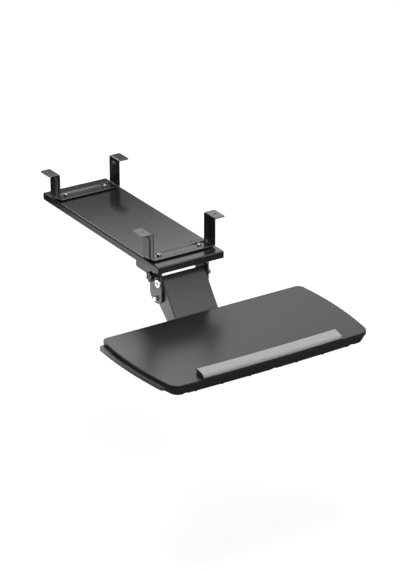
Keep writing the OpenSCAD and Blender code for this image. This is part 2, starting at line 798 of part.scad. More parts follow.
module lower_pivot_bolt() {
    color("silver") difference() {
        union() {
            rod(-bracket_half - lower_head_h, -bracket_half, low_y, low_z, lower_head_d);
            rod(-bracket_half, bracket_half + lower_nut_h + 2, low_y, low_z, lower_bolt_d);
        }
        hex_rod(-bracket_half - lower_head_h - over, -bracket_half - lower_head_h + lower_socket_depth,
            low_y, low_z, lower_socket_d);
    }
}
module lower_pivot_nut() {
    nut_on_x(bracket_half, low_y, low_z, lower_nut_h, lower_nut_d, lower_bolt_d);
}
module tube_on_x(x0, x1, y, z, d, bore) {
    difference() {
        rod(x0, x1, y, z, d);
        rod(x0 - over, x1 + over, y, z, bore);
    }
}
// Steel sleeves that carry the lowered arm and space the link bars
module stop_sleeves() {
    color("gray") both_sides()
        tube_on_x(link_outer + washer_gap, bracket_inner - friction_t, low_y, low_z,
            stop_sleeve_d, lower_bolt_d + 2 * run_gap);
}
module lower_spacer_tube() {
    color("gray") tube_on_x(-link_inner + washer_gap, link_inner - washer_gap, low_y, low_z,
        stop_sleeve_d, lower_bolt_d + 2 * run_gap);
}
module knob_boss() {
    color("gray") difference() {
        hex_rod(-bracket_half - boss_h, -bracket_half, knob_y, knob_z, boss_d);
        rod(-bracket_half - boss_h - over, -bracket_half + over, knob_y, knob_z, knob_screw_d + 2 * run_gap);
    }
}

// Star knob
module knob_star() {
    circle(knob_d / 2 - lobe_d / 2);
    for (k = [0:knob_lobes - 1]) rotate(k * 360 / knob_lobes)
        translate([knob_d / 2 - lobe_d / 2, 0]) circle(lobe_d / 2);
}
module lock_knob() {
    color("black") translate([-knob_x, knob_y, knob_z]) rotate([0, -90, 0]) difference() {
        union() {
            cylinder(h = knob_hub_h + over, d = knob_hub_d);
            translate([0, 0, knob_hub_h]) linear_extrude(knob_star_h) knob_star();
        }
        translate([0, 0, -over]) cylinder(h = knob_hub_h + knob_star_h - 3 + over, d = knob_screw_d);
        translate([0, 0, knob_hub_h + knob_star_h - 1]) cylinder(h = 1 + over, d = knob_d - 2 * lobe_d + 2);
    }
}
module knob_screw() {
    color("silver") rod(-knob_x - knob_hub_h - knob_star_h + 3, -bracket_inner - slip_gap,
        knob_y, knob_z, knob_screw_d);
}

// Side view of the arm, hanging straight down from its upper pivot
module arm_side(inset) {
    translate([nose_off, 0]) circle(arm_nose_r - inset);
    translate([arm_end_off, -arm_l]) circle(arm_end_r - inset);
    polygon([
        [-arm_face + inset, 0],
        [-arm_face + inset, -arm_l],
        [arm_side_low, -arm_l],
        [arm_side_high + side_slope * shoulder_s, 0],
        [nose_off, arm_nose_r - inset]
    ]);
}
// The path of the stop sleeves past the arm's sides, ending in their seat
module stop_path() {
    a = angle_of(low_in_arm);
    difference() {
        rotate(a) square([far, far]);
        circle(link_reach - stop_r);
    }
    translate(low_in_arm) circle(stop_r);
}
module arm_cover() {
    wrap_top = 10;
    inner = arm_half - arm_t;
    color("dimgray") place_arm() difference() {
        intersection() {
            along_x(-arm_half, arm_half) difference() {
                arm_side(0);
                stop_path();
            }
            translate([0, 0, -far / 2]) linear_extrude(far) translate([-arm_half, -arm_face])
                rounded_square([arm_w, far], arm_bend);
        }
        along_x(-inner, inner) {
            arm_side(arm_t);
            translate([wrap_top, -far / 2]) square([far, far]);
        }
        rod(-far / 2, far / 2, 0, 0, upper_bolt_d + 2 * run_gap);
        rod(-far / 2, far / 2, 0, -arm_l, lower_bolt_d + 2 * run_gap);
    }
}
module arm_tube(s, bore) {
    inner = arm_half - arm_t;
    color("gray") place_arm() tube_on_x(-inner, inner, 0, -s, arm_tube_d, bore);
}
module arm_upper_tube() {
    arm_tube(0, upper_bolt_d + 2 * run_gap);
}
module arm_lower_tube() {
    arm_tube(arm_l, lower_bolt_d + 2 * run_gap);
}
// Two flat bars that keep the head level
module link_bars() {
    color("gray") both_sides() translate([0, low_y, low_z]) rotate([arm_angle - 90, 0, 0]) difference() {
        along_x(link_inner, link_outer) {
            circle(link_end_r);
            translate([0, -arm_l]) circle(link_end_r);
            translate([-link_w / 2, -arm_l]) square([link_w, arm_l]);
        }
        rod(link_inner - over, link_outer + over, 0, 0, lower_bolt_d + 2 * run_gap);
        rod(link_inner - over, link_outer + over, 0, -arm_l, lower_bolt_d + 2 * slip_gap);
    }
}

// Head at the arm's lower end: two cheeks joined by a web along their lower edge
module head_cheek(x0, x1) {
    belt(x0, x1, [[head_y, head_z], [foot_y, foot_z], [tilt_y, tilt_z]], [head_r_top, head_r_foot, head_r_tilt]);
}
module head_bracket() {
    sunk = bracket_inner + 1;
    run = [foot_y - tilt_y, foot_z - tilt_z];
    color("dimgray") difference() {
        union() {
            head_cheek(-bracket_half, -bracket_inner);
            head_cheek(bracket_inner, bracket_half);
            translate([0, tilt_y, tilt_z]) rotate([angle_of(run), 0, 0])
                translate([-sunk, head_web_front, -head_web_drop - head_t])
                    cube([2 * sunk, norm(run) - 2 * head_web_front, head_t]);
        }
        rod(-far / 2, far / 2, head_y, head_z, lower_bolt_d + 2 * bolt_gap);
        rod(-far / 2, far / 2, foot_y, foot_z, lower_bolt_d + 2 * bolt_gap);
        rod(-far / 2, far / 2, tilt_y, tilt_z, lower_bolt_d + 2 * bolt_gap);
    }
}
module at_head_bolts() {
    for (p = [[head_y, head_z], [foot_y, foot_z]]) translate([0, p.x, p.y]) children();
}
module hex_bolt_on_x() {
    rod(-bracket_half, bracket_half + lower_nut_h + 2, 0, 0, lower_bolt_d);
    hex_rod(-bracket_half - 5.3, -bracket_half, 0, 0, lower_nut_d);
}
module head_bolts() {
    color("silver") at_head_bolts() hex_bolt_on_x();
}
module head_nuts() {
    at_head_bolts() nut_on_x(bracket_half, 0, 0, lower_nut_h, lower_nut_d, lower_bolt_d);
}
module tilt_bolt() {
    color("silver") translate([0, tilt_y, tilt_z]) hex_bolt_on_x();
}
module tilt_nut() {
    nut_on_x(bracket_half, tilt_y, tilt_z, lower_nut_h, lower_nut_d, lower_bolt_d);
}
module head_washers() {
    color("white") both_sides() tube_on_x(arm_half + washer_gap, arm_half + washer_gap + arm_washer_t,
        head_y, head_z, arm_washer_d, lower_bolt_d + 2 * run_gap);
}
module head_spacers() {
    color("gray") {
        both_sides() tube_on_x(link_outer + washer_gap, bracket_inner, foot_y, foot_z,
            stop_sleeve_d, lower_bolt_d + 2 * run_gap);
        tube_on_x(-link_inner + washer_gap, link_inner - washer_gap, foot_y, foot_z,
            stop_sleeve_d, lower_bolt_d + 2 * run_gap);
    }
}

// Folded plate that carries the board and turns on the tilt bolt
module tilt_plate() {
    ear = [-board_back, -board_up];
    plate_bottom = tilt_plate_top - tilt_rim;
    plate_front_y = tilt_plate_back - tilt_plate_l;
    bend = 4;
    color("dimgray") place_tray() difference() {
        intersection() {
            union() {
                translate([-tilt_half, plate_front_y, plate_bottom]) cube([2 * tilt_half, tilt_plate_l, tilt_rim]);
                belt(-tilt_half, tilt_half,
                    [ear, [ear.x - ear_reach, plate_bottom + ear_end_r], [ear.x + 4, plate_bottom + ear_end_r]],
                    [ear_r, ear_end_r, ear_r - 2]);
            }
            along_y(far) translate([-tilt_half, tilt_plate_top - far])
                rounded_square([2 * tilt_half, far], bend);
            translate([-far / 2, -far / 2, -far + tilt_plate_top]) cube(far);
        }
        along_y(far) translate([-tilt_half + head_t, tilt_plate_top - head_t - far])
            rounded_square([2 * (tilt_half - head_t), far], bend - head_t);
        rod(-far / 2, far / 2, ear.x, ear.y, lower_bolt_d + 2 * run_gap);
        translate([0, tilt_plate_back - tilt_plate_l / 2, -board_t - head_t - over])
            cylinder(h = head_t + 2 * over, d = tilt_hole_d);
        at_plate_screws() cylinder(h = far, d = screw_d + 2 * bolt_gap, center = true);
    }
}
module at_plate_screws() {
    for (x = [-1, 1], k = [0:2]) translate([x * 52, tilt_plate_back - 16 - k * (tilt_plate_l - 32) / 2, 0]) children();
}

// Board, its screw holes and the shallow seat of the palm rest
module palm_outline(grow) {
    half = palm_l / 2 + grow;
    n = 12;
    polygon(concat(
        [for (k = [0:n]) let (x = -half + 2 * half * k / n) [x, front_y(x, palm_margin - grow)]],
        [for (k = [0:n]) let (x = half - 2 * half * k / n) [x, front_y(x, palm_margin + palm_depth + grow)]]
    ));
}
module tray_board() {
    color("gray") place_tray() difference() {
        translate([0, 0, board_under]) linear_extrude(board_t) polygon(outline(band_t, band_t, band_t));
        translate([0, 0, -recess_d]) linear_extrude(recess_d + over) palm_outline(palm_gap);
        at_tray_screws() translate([0, 0, board_under - over]) cylinder(h = screw_bite + over, d = screw_d);
    }
}
module edge_band() {
    color("black") place_tray() translate([0, 0, board_under]) linear_extrude(board_t) difference() {
        polygon(outline(0, 0, 0));
        polygon(outline(band_t, band_t, band_t));
    }
}

// Places of the screws that come up into the board
front_boss_x = [for (k = [0.243, 0.52, 0.78]) k * board_half_front];
back_boss_x = [for (k = [0.382, 0.572, 0.78]) k * board_half_front];
boss_in = 7.2;
module at_shell_bosses() {
    for (x = back_boss_x) translate([x, -boss_in, 0]) children();
    for (x = front_boss_x) translate([x, front_y(x, boss_in + 2), 0]) children();
}
module at_rail_screws() {
    reach = slip_gap + mouse_rail_t + mouse_rail_screw;
    for (x = [mouse_rail_x0 + mouse_rail_screw_in, (mouse_rail_x0 + mouse_rail_x1) / 2,
            mouse_rail_x1 - mouse_rail_screw_in],
        y = [-mouse_back + reach, -mouse_front - reach])
        translate([x, y, 0]) children();
}
module at_tray_screws() {
    at_plate_screws() children();
    both_sides() at_shell_bosses() children();
    at_rail_screws() children();
}
// A screw whose head bears on a given level
module tray_screw(z) {
    translate([0, 0, z]) {
        cylinder(h = board_under + screw_bite - z, d = screw_d);
        difference() {
            translate([0, 0, -screw_head_h]) cylinder(h = screw_head_h, d = screw_head_d);
            translate([0, 0, -screw_head_h - over]) cylinder(h = over + 1.2, d = 3, $fn = 6);
        }
    }
}
module tray_screws() {
    color("silver") place_tray() {
        at_plate_screws() tray_screw(board_under - head_t);
        both_sides() at_shell_bosses() tray_screw(skirt_bottom);
        at_rail_screws() tray_screw(board_under - mouse_rail_t);
    }
}

// Moulded lower shell: a leaning wall under the board's edge with a bottom flange and screw posts
module shell_taper(side_in, front_in, back_in, z0, z1, end_lean) {
    lean = (z0 - z1) / skirt_h;
    hull() {
        translate([0, 0, z0 - slice]) linear_extrude(slice) polygon(outline(side_in, front_in, back_in));
        translate([0, 0, z1]) linear_extrude(slice)
            polygon(outline(side_in + lean * end_lean, front_in + lean * front_lean, back_in + lean * front_lean));
    }
}
module shell_ring(end_lean) {
    difference() {
        shell_taper(1, 1, 1, board_under, skirt_bottom, end_lean);
        shell_taper(1 + shell_wall, 1 + shell_wall, 1 + shell_wall, board_under + slice, flange_top, end_lean);
        translate([0, 0, skirt_bottom - over]) linear_extrude(far)
            polygon(outline(flange_w + end_lean, flange_w + front_lean, flange_w + front_lean));
        translate([-head_opening, -board_depth / 2, -far / 2]) cube([2 * head_opening, far, far]);
    }
}
module shell_half(end_lean, notch_x) {
    difference() {
        union() {
            shell_ring(end_lean);
            at_shell_bosses() translate([0, 0, flange_top - shell_floor / 2])
                cylinder(h = board_under - flange_top + shell_floor / 2, r = boss_r);
        }
        at_shell_bosses() translate([0, 0, skirt_bottom - over])
            cylinder(h = skirt_h + 2 * over, d = screw_d + 2 * bolt_gap);
        translate([-far + seam_gap / 2, -far / 2, -far / 2]) cube(far);
        // Small notches in the bottom edge
        for (x = [-notch_w / 2, notch_x - notch_w / 2])
            translate([x, -far - board_depth / 2, skirt_bottom - over]) cube([notch_w, far, notch_h + over]);
    }
}
module lower_shell_right() {
    color("#222222") place_tray() shell_half(side_lean, notch_right);
}
module lower_shell_left() {
    color("#222222") place_tray() difference() {
        mirror([1, 0, 0]) shell_half(left_lean, notch_left);
        // Opening that the mouse tray slides through
        translate([-far, mouse_open_front, flange_top])
            cube([far + mouse_step_x, mouse_open_back - mouse_open_front, skirt_h]);
    }
}

// Rails that carry the mouse tray's front and rear edges
module mouse_rail() {
    y0 = slip_gap;
    top = board_under;
    low = mouse_bottom - slip_gap;
    along_x(mouse_rail_x0, mouse_rail_x1) polygon([
        [y0, top - mouse_rail_t], [y0, low], [-mouse_rail_lip, low], [-mouse_rail_lip, low - mouse_rail_t],
        [y0 + mouse_rail_t, low - mouse_rail_t], [y0 + mouse_rail_t, top - mouse_rail_t],
        [y0 + mouse_rail_t + mouse_rail_top, top - mouse_rail_t], [y0 + mouse_rail_t + mouse_rail_top, top],
        [y0, top]
    ]);
}
module mouse_rails() {
    color("silver") place_tray() difference() {
        union() {
            translate([0, -mouse_back, 0]) mouse_rail();
            translate([0, -mouse_front, 0]) mirror([0, 1, 0]) mouse_rail();
        }
        at_rail_screws() translate([0, 0, board_under - mouse_rail_t - over])
            cylinder(h = mouse_rail_t + 2 * over, d = screw_d + 2 * bolt_gap);
    }
}

// Mouse tray: a moulded platform with a raised rim, a finger grip, a slot and ribs below
function mouse_edge(inset) =
    let (
        r = mouse_r - inset,
        rc = max(1, mouse_corner_r - inset),
        yb = -mouse_end_back - inset - rc,
        yf = -mouse_front + inset + rc,
        cb = [mouse_c.x - sqrt(pow(r - rc, 2) - pow(yb - mouse_c.y, 2)), yb],
        cf = [mouse_c.x - sqrt(pow(r - rc, 2) - pow(yf - mouse_c.y, 2)), yf],
        ab = angle_of(cb - mouse_c),
        af = angle_of(cf - mouse_c) + 360
    )
    concat(
        arc(cb, rc, 90, ab, 5),
        tail(arc(mouse_c, r, ab, ab > 0 ? af : af - 360, 10)),
        tail(arc(cf, rc, ab > 0 ? af : af - 360, 270, 5))
    );
module mouse_outline(inset, inner_in) {
    polygon(concat(mouse_edge(inset), [
        [-mouse_inner_x - inner_in, -mouse_front + inset],
        [-mouse_inner_x - inner_in, -mouse_back - inset],
        [mouse_step_x - inset, -mouse_back - inset],
        [mouse_step_x - inset, -mouse_end_back - inset]
    ]));
}
// A strip that follows the mouse tray's outer edge
module edge_strip(inset, w, y_back, l) {
    intersection() {
        difference() {
            translate(mouse_c) circle(mouse_r - inset, $fn = 720);
            translate(mouse_c) circle(mouse_r - inset - w, $fn = 720);
        }
        translate([-board_half_back - 2 * side_bow, y_back - l]) square([board_half_back, l]);
    }
}
module mouse_tray() {
    rib_n = 4;
    color("dimgray") place_tray() difference() {
        union() {
            translate([0, 0, mouse_bottom]) linear_extrude(mouse_t) mouse_outline(0, 0);
            // Deeper lip along the part that stands out beyond the board
            translate([0, 0, mouse_bottom - mouse_lip]) linear_extrude(mouse_lip + over) difference() {
                mouse_outline(0, 0);
                mouse_outline(mouse_lip_w, 0);
                polygon(outline(-1.5, -1.5, -1.5));
            }
        }
        translate([0, 0, mouse_top - mouse_recess]) linear_extrude(far) difference() {
            mouse_outline(mouse_rim, 0);
            translate([mouse_step_x - far, -far / 2]) square([far, far]);
        }
        translate([0, 0, mouse_bottom - over]) linear_extrude(mouse_t - mouse_recess - mouse_floor + over)
            difference() {
                mouse_outline(mouse_wall + 2, mouse_wall);
                for (k = [1:rib_n]) translate([-far, -mouse_back - mouse_w * k / (rib_n + 1) - mouse_wall / 2])
                    square([far, mouse_wall]);
                for (k = [1:rib_n - 1]) translate([-mouse_inner_x - k * 55, -far]) square([mouse_wall, far]);
                edge_strip(0, grip_in + grip_w + mouse_wall, slot_back + 8, slot_l + grip_l + 32);
            }
        translate([0, 0, mouse_top - grip_depth]) linear_extrude(far) edge_strip(grip_in, grip_w, grip_back, grip_l);
        translate([0, 0, mouse_bottom - over]) linear_extrude(far) edge_strip(slot_in, slot_w, slot_back, slot_l);
    }
}

// Padded palm rest on its thin base
module palm_rest_base() {
    color("#303030") place_tray() translate([0, 0, -recess_d]) linear_extrude(palm_base_t) palm_outline(0);
}
// Cross-section of the pad: flat below, upright behind, sloping to a rounded front
function pad_section(h_back, h_front, depth, crown) =
    let (
        rb = 2.5,
        rf = 4.5,
        slope = angle_of([depth, h_back - h_front]),
        bottom = 1.2
    )
    concat(
        [[bottom, 0], [depth - bottom, 0], [depth, bottom]],
        arc([depth - rb, h_back - rb], rb, 0, 90 + slope, 4),
        [for (k = [1:3]) let (t = k / 4, y = depth - rb - t * (depth - rb - rf))
            [y, h_back - (depth - y) * tan(slope) + crown * 4 * t * (1 - t)]],
        arc([rf, h_front - rf + 1], rf, 90 + slope, 180, 4),
        [[0, bottom]]
    );
module palm_rest() {
    z0 = palm_base_t - recess_d + pad_gap;
    end_r = 3;
    half = palm_l / 2 - 0.4;
    n = PAD_STATIONS;
    stations = [for (k = [0:n]) let (
            a = -90 + 180 * k / n,
            x = half * sin(a),
            edge = (half - abs(x)) / end_r,
            draw = edge >= 1 ? 0 : 1 - sqrt(1 - pow(1 - edge, 2))
        )
        [x, draw]];
    sections = [for (s = stations)
        let (cut = 1.6 * s[1], base = front_y(s[0], palm_margin + 0.4))
        [for (p = pad_section(palm_back_h - z0 - cut, palm_front_h - z0 - cut, palm_depth - 0.8 - 2 * cut, 0.5))
            [s[0], base + cut + p.x, z0 + p.y]]];
    m = len(sections[0]);
    pts = [for (s = sections) each s];
    faces = concat(
        [[for (j = [0:m - 1]) j]],
        [for (k = [0:n - 1], j = [0:m - 1]) each [
            [k * m + j, (k + 1) * m + j, (k + 1) * m + (j + 1) % m],
            [k * m + j, (k + 1) * m + (j + 1) % m, k * m + (j + 1) % m]
        ]],
        [[for (j = [m - 1:-1:0]) n * m + j]]
    );
    color("silver") place_tray() polyhedron(points = pts, faces = faces);
}

mounting_plate();
front_hanger();
rear_hanger();
strap_screws();
strap_nuts();
left_rail();
right_rail();
rail_bumpers();
carriage_plate();
glides();
swivel_ring();
swivel_bolt();
swivel_washer();
swivel_nut();
swivel_bracket();
friction_plates();
upper_pivot_bolt();
upper_pivot_nut();
lower_pivot_bolt();
lower_pivot_nut();
stop_sleeves();
lower_spacer_tube();
knob_boss();
lock_knob();
knob_screw();
arm_cover();
arm_upper_tube();
arm_lower_tube();
link_bars();
head_bracket();
head_bolts();
head_nuts();
head_washers();
head_spacers();
tilt_bolt();
tilt_nut();
tray_board();
edge_band();
tilt_plate();
lower_shell_left();
lower_shell_right();
mouse_rails();
tray_screws();
palm_rest_base();
palm_rest();
mouse_tray();
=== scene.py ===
"""Keyboard tray that hangs under a desk: finishes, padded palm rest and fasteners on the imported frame.

Blender works in metres and in the frame's axes: +X to the user's right, +Y away from the user, +Z up. The pieces'
classes hold their sizes in millimetres and the studio's in metres.
"""

from __future__ import annotations

import json
import logging
import math
from collections.abc import Sequence
from dataclasses import dataclass
from enum import Enum

import bmesh
import bpy
import numpy as np
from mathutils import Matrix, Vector

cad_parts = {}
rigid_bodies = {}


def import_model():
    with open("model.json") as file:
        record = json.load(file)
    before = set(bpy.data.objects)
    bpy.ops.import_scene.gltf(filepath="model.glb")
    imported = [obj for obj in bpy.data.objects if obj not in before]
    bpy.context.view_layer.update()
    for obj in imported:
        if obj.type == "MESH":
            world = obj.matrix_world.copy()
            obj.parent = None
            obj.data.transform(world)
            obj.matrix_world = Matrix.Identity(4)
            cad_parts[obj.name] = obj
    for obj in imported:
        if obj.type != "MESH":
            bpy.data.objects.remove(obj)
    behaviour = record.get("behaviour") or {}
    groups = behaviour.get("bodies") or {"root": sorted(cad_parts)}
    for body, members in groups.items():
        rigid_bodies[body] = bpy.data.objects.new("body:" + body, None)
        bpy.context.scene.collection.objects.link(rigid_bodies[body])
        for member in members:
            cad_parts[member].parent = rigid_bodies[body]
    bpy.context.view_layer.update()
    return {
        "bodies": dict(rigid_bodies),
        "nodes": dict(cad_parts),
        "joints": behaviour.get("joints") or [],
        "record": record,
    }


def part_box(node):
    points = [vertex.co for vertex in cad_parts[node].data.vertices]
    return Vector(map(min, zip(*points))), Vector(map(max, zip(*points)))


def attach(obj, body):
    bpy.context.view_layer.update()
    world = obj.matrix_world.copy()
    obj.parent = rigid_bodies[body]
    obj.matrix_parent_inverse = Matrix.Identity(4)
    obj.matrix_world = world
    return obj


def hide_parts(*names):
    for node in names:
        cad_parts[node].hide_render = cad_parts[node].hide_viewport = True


LOG = logging.getLogger("keyboard_tray")

MM = 0.001
MERGE = 1e-6  # points closer than this, in metres, are one
CREASE = 32.0  # degrees past which an edge is sharp
SMOOTH = 180.0  # the same for a piece with no sharp edge
TIP = 0.05  # radius of the ring that closes a turned face, in millimetres
TINY = 1e-9  # keeps a division from zero

LEFT, RIGHT, UP = Vector((-1, 0, 0)), Vector((1, 0, 0)), Vector((0, 0, 1))
VALUE, VECTOR = "NodeSocketFloat", "NodeSocketVector"

WHITE = (1.0, 1.0, 1.0)

Colour = tuple[float, float, float]
Point = tuple[float, float]
Socket = bpy.types.NodeSocket
Sockets = bpy.types.bpy_prop_collection


# Node helpers


class Nodes:
    """A thin wrapper round a node tree that adds and links nodes in one line each."""

    def __init__(self, tree: bpy.types.NodeTree) -> None:
        """Keeps the tree to add to."""
        self.tree = tree

    def add(self, kind: str, inputs: dict[str | int, object] | None = None, **settings: object) -> bpy.types.Node:
        """Adds a node.

        Args:
            kind: the node's type name.
            inputs: input name or index to a socket to link from, or a value to set.
            settings: attributes of the node itself.

        Returns:
            The new node.
        """
        node = self.tree.nodes.new(kind)
        for key, value in settings.items():
            setattr(node, key, value)
        for key, value in (inputs or {}).items():
            self.put(node.inputs[key], value)
        return node

    def put(self, socket: Socket, value: object) -> None:
        """Links a socket to another, or sets its value.

        Args:
            socket: the input to feed.
            value: an output socket or a plain value.
        """
        if isinstance(value, bpy.types.NodeSocket):
            self.tree.links.new(value, socket)
        else:
            socket.default_value = value

    def place(self) -> Socket:
        """Returns the Object coordinates, which are the frame's own."""
        return self.add("ShaderNodeTexCoord").outputs["Object"]

    def math(self, operation: str, a: object, b: object = 0.0, clamp: bool = False) -> Socket:
        """Returns a Math node's output for two values or sockets, held to 0..1 where clamp is set."""
        return self.add("ShaderNodeMath", {0: a, 1: b}, operation=operation, use_clamp=clamp).outputs[0]

    def measure(self, operation: str, *vectors: object) -> Socket:
        """Returns the number that a Vector Math node finds for its vectors."""
        return self.add("ShaderNodeVectorMath", dict(enumerate(vectors)), operation=operation).outputs["Value"]

    def weigh(self, a: Socket, b: Socket, shares: tuple[float, float]) -> Socket:
        """Returns the sum of two values, each times its share."""
        return self.math("ADD", self.math("MULTIPLY", a, shares[0]), self.math("MULTIPLY", b, shares[1]))

    def noise(self, vector: Socket, scale: float | Socket, detail: float = 3.0, rough: float = 0.5) -> Socket:
        """Returns the factor of a Noise Texture, whose scale is per metre."""
        inputs = {"Vector": vector, "Scale": scale, "Detail": detail, "Roughness": rough}
        return self.add("ShaderNodeTexNoise", inputs).outputs["Fac"]

    def span(self, value: Socket, low: float, high: float, to_low: float = 0.0, to_high: float = 1.0) -> Socket:
        """Returns a value mapped from low..high to to_low..to_high, and held inside it."""
        inputs = {0: value, 1: low, 2: high, 3: to_low, 4: to_high}
        return self.add("ShaderNodeMapRange", inputs).outputs[0]

    def blend(self, factor: object, a: object, b: object) -> Socket:
        """Returns a mix of two colours.

        Args:
            factor: the share of the second.
            a: first colour or socket.
            b: second colour or socket.

        Returns:
            The mixed colour's socket.
        """
        node = self.add("ShaderNodeMix", data_type="RGBA")
        for index, value in ((0, factor), (6, a), (7, b)):
            self.put(node.inputs[index], value)
        return node.outputs[2]


def rgba(colour: Colour) -> tuple[float, float, float, float]:
    """Adds a full alpha to a colour."""
    return (*colour, 1.0)


def shader_group(name: str, inputs: dict[str, float], outputs: dict[str, str]) -> tuple[Nodes, Sockets, Sockets]:
    """Starts a shader node group.

    Args:
        name: the group's name.
        inputs: name and default of each float input.
        outputs: name and socket type of each output.

    Returns:
        The group's nodes, the sockets that give its inputs, and the sockets that take its outputs.
    """
    tree = bpy.data.node_groups.new(name, "ShaderNodeTree")
    for key, value in inputs.items():
        tree.interface.new_socket(key, in_out="INPUT", socket_type=VALUE).default_value = value
    for key, kind in outputs.items():
        tree.interface.new_socket(key, in_out="OUTPUT", socket_type=kind)
    nodes = Nodes(tree)
    return nodes, nodes.add("NodeGroupInput").outputs, nodes.add("NodeGroupOutput").inputs


@dataclass
class Effects:
    """The shader groups that the finishes share, each built once.

    The numbers are shares of a relief, spans that a noise is read in, and the brightest and darkest of a shade.
    """

    peel_finer: float = 4.0
    peel_shares: tuple[float, float] = (0.8, 0.2)
    bevel_samples: int = 6
    rub_lean: tuple[float, float] = (1.0, 0.9)
    rub_span: tuple[float, float] = (0.45, 0.7)
    grain_finer: float = 2.0
    grain_shares: tuple[float, float] = (0.7, 0.3)
    grain_span: tuple[float, float] = (0.3, 0.7)
    grain_shade: tuple[float, float] = (0.88, 1.12)
    smudge_span: tuple[float, float] = (0.1, 0.9)
    marks_drawn: float = 0.12
    marks_span: tuple[float, float] = (0.35, 0.65)
    marks_shade: tuple[float, float] = (0.9, 1.08)
    weave_bend: float = 0.6
    weave_shares: tuple[float, float] = (0.7, 0.4)
    weave_shade: tuple[float, float] = (0.9, 1.04)
    fluff_scale: float = 2600.0
    fluff_span: tuple[float, float] = (0.3, 0.7)
    fluff_shade: float = 0.05

    def __post_init__(self) -> None:
        """Builds every group."""
        self.peel = self._peel()
        self.wear = self._wear()
        self.grain = self._grain()
        self.smudge = self._smudge()
        self.brushed = self._brushed()
        self.knit = self._knit()

    def _peel(self) -> bpy.types.NodeTree:
        """Builds the fine orange peel of powder coat, with its faint light and dark flecks.

        Returns:
            The group.
        """
        n, given, result = shader_group("PowderPeel", {"Scale": 900.0, "Fleck": 0.5}, {"Height": VALUE, "Shade": VALUE})
        where = n.place()
        broad = n.noise(where, given["Scale"], detail=2.0, rough=0.4)
        fine = n.noise(where, n.math("MULTIPLY", given["Scale"], self.peel_finer), detail=1.0, rough=0.5)
        n.put(result["Height"], n.weigh(broad, fine, self.peel_shares))
        fleck = n.math("MULTIPLY", n.math("SUBTRACT", fine, 0.5), given["Fleck"])
        n.put(result["Shade"], n.math("ADD", fleck, 1.0))
        return n.tree

    def _wear(self) -> bpy.types.NodeTree:
        """Builds the rounded edge's normal and a mask of where handling has rubbed the edge.

        Returns:
            The group.
        """
        n, given, result = shader_group(
            "EdgeWear", {"Radius": 0.0006, "Reach": 0.5, "Patch": 60.0}, {"Normal": VECTOR, "Mask": VALUE}
        )
        soft = n.add("ShaderNodeBevel", {"Radius": given["Radius"]}, samples=self.bevel_samples).outputs[0]
        flat = n.add("ShaderNodeNewGeometry").outputs["Normal"]
        edge = n.span(n.measure("DOT_PRODUCT", soft, flat), *self.rub_lean)
        patch = n.span(n.noise(n.place(), given["Patch"], detail=4.0, rough=0.6), *self.rub_span)
        n.put(result["Mask"], n.math("MULTIPLY", n.math("MULTIPLY", edge, patch), given["Reach"], clamp=True))
        n.put(result["Normal"], soft)
        return n.tree

    def _grain(self) -> bpy.types.NodeTree:
        """Builds the pebbled grain of a moulding.

        Returns:
            The group.
        """
        n, given, result = shader_group("MouldGrain", {"Scale": 1400.0}, {"Height": VALUE, "Shade": VALUE})
        where = n.place()
        cells = n.add("ShaderNodeTexVoronoi", {"Vector": where, "Scale": given["Scale"]}, feature="SMOOTH_F1")
        fine = n.noise(where, n.math("MULTIPLY", given["Scale"], self.grain_finer), detail=2.0)
        n.put(result["Height"], n.weigh(cells.outputs["Distance"], fine, self.grain_shares))
        n.put(result["Shade"], n.span(fine, *self.grain_span, *self.grain_shade))
        return n.tree

    def _smudge(self) -> bpy.types.NodeTree:
        """Builds the broad dull and bright areas that hands and dust leave.

        Returns:
            The group.
        """
        n, given, result = shader_group("Smudge", {"Scale": 9.0}, {"Mask": VALUE})
        n.put(result["Mask"], n.span(n.noise(n.place(), given["Scale"], detail=1.5, rough=0.4), *self.smudge_span))
        return n.tree

    def _brushed(self) -> bpy.types.NodeTree:
        """Builds fine marks that run along Y and Z, as turning and rolling leave on steel.

        Returns:
            The group.
        """
        n, given, result = shader_group("BrushedMarks", {"Scale": 1500.0}, {"Height": VALUE, "Shade": VALUE})
        stretch = (1.0, self.marks_drawn, self.marks_drawn)
        drawn = n.add("ShaderNodeMapping", {"Vector": n.place(), "Scale": stretch}).outputs[0]
        marks = n.noise(drawn, given["Scale"], detail=3.0, rough=0.6)
        n.put(result["Height"], marks)
        n.put(result["Shade"], n.span(marks, *self.marks_span, *self.marks_shade))
        return n.tree

    def _knit(self) -> bpy.types.NodeTree:
        """Builds a fine plain weave along the pad's length and depth.

        Returns:
            The group.
        """
        n, given, result = shader_group("FineWeave", {"Scale": 900.0}, {"Height": VALUE, "Shade": VALUE})
        where = n.place()
        quarter = (0.0, 0.0, math.radians(90))
        across = n.add("ShaderNodeMapping", {"Vector": where, "Rotation": quarter}).outputs[0]
        shape = {"Scale": given["Scale"], "Distortion": self.weave_bend}
        warp, weft = (
            n.add("ShaderNodeTexWave", {"Vector": lay, **shape}, bands_direction="X").outputs["Fac"]
            for lay in (where, across)
        )
        woven = n.math("MULTIPLY", warp, weft)
        fluff = n.noise(where, self.fluff_scale, detail=3.0, rough=0.6)
        n.put(result["Height"], n.weigh(woven, fluff, self.weave_shares))
        fleck = n.span(fluff, *self.fluff_span, -self.fluff_shade, self.fluff_shade)
        n.put(result["Shade"], n.math("ADD", n.span(woven, 0.0, 1.0, *self.weave_shade), fleck))
        return n.tree


class Relief(Enum):
    """The small-scale surface that a finish shows; each value names a group of Effects."""

    PEEL = "peel"
    GRAIN = "grain"
    BRUSHED = "brushed"
    KNIT = "knit"


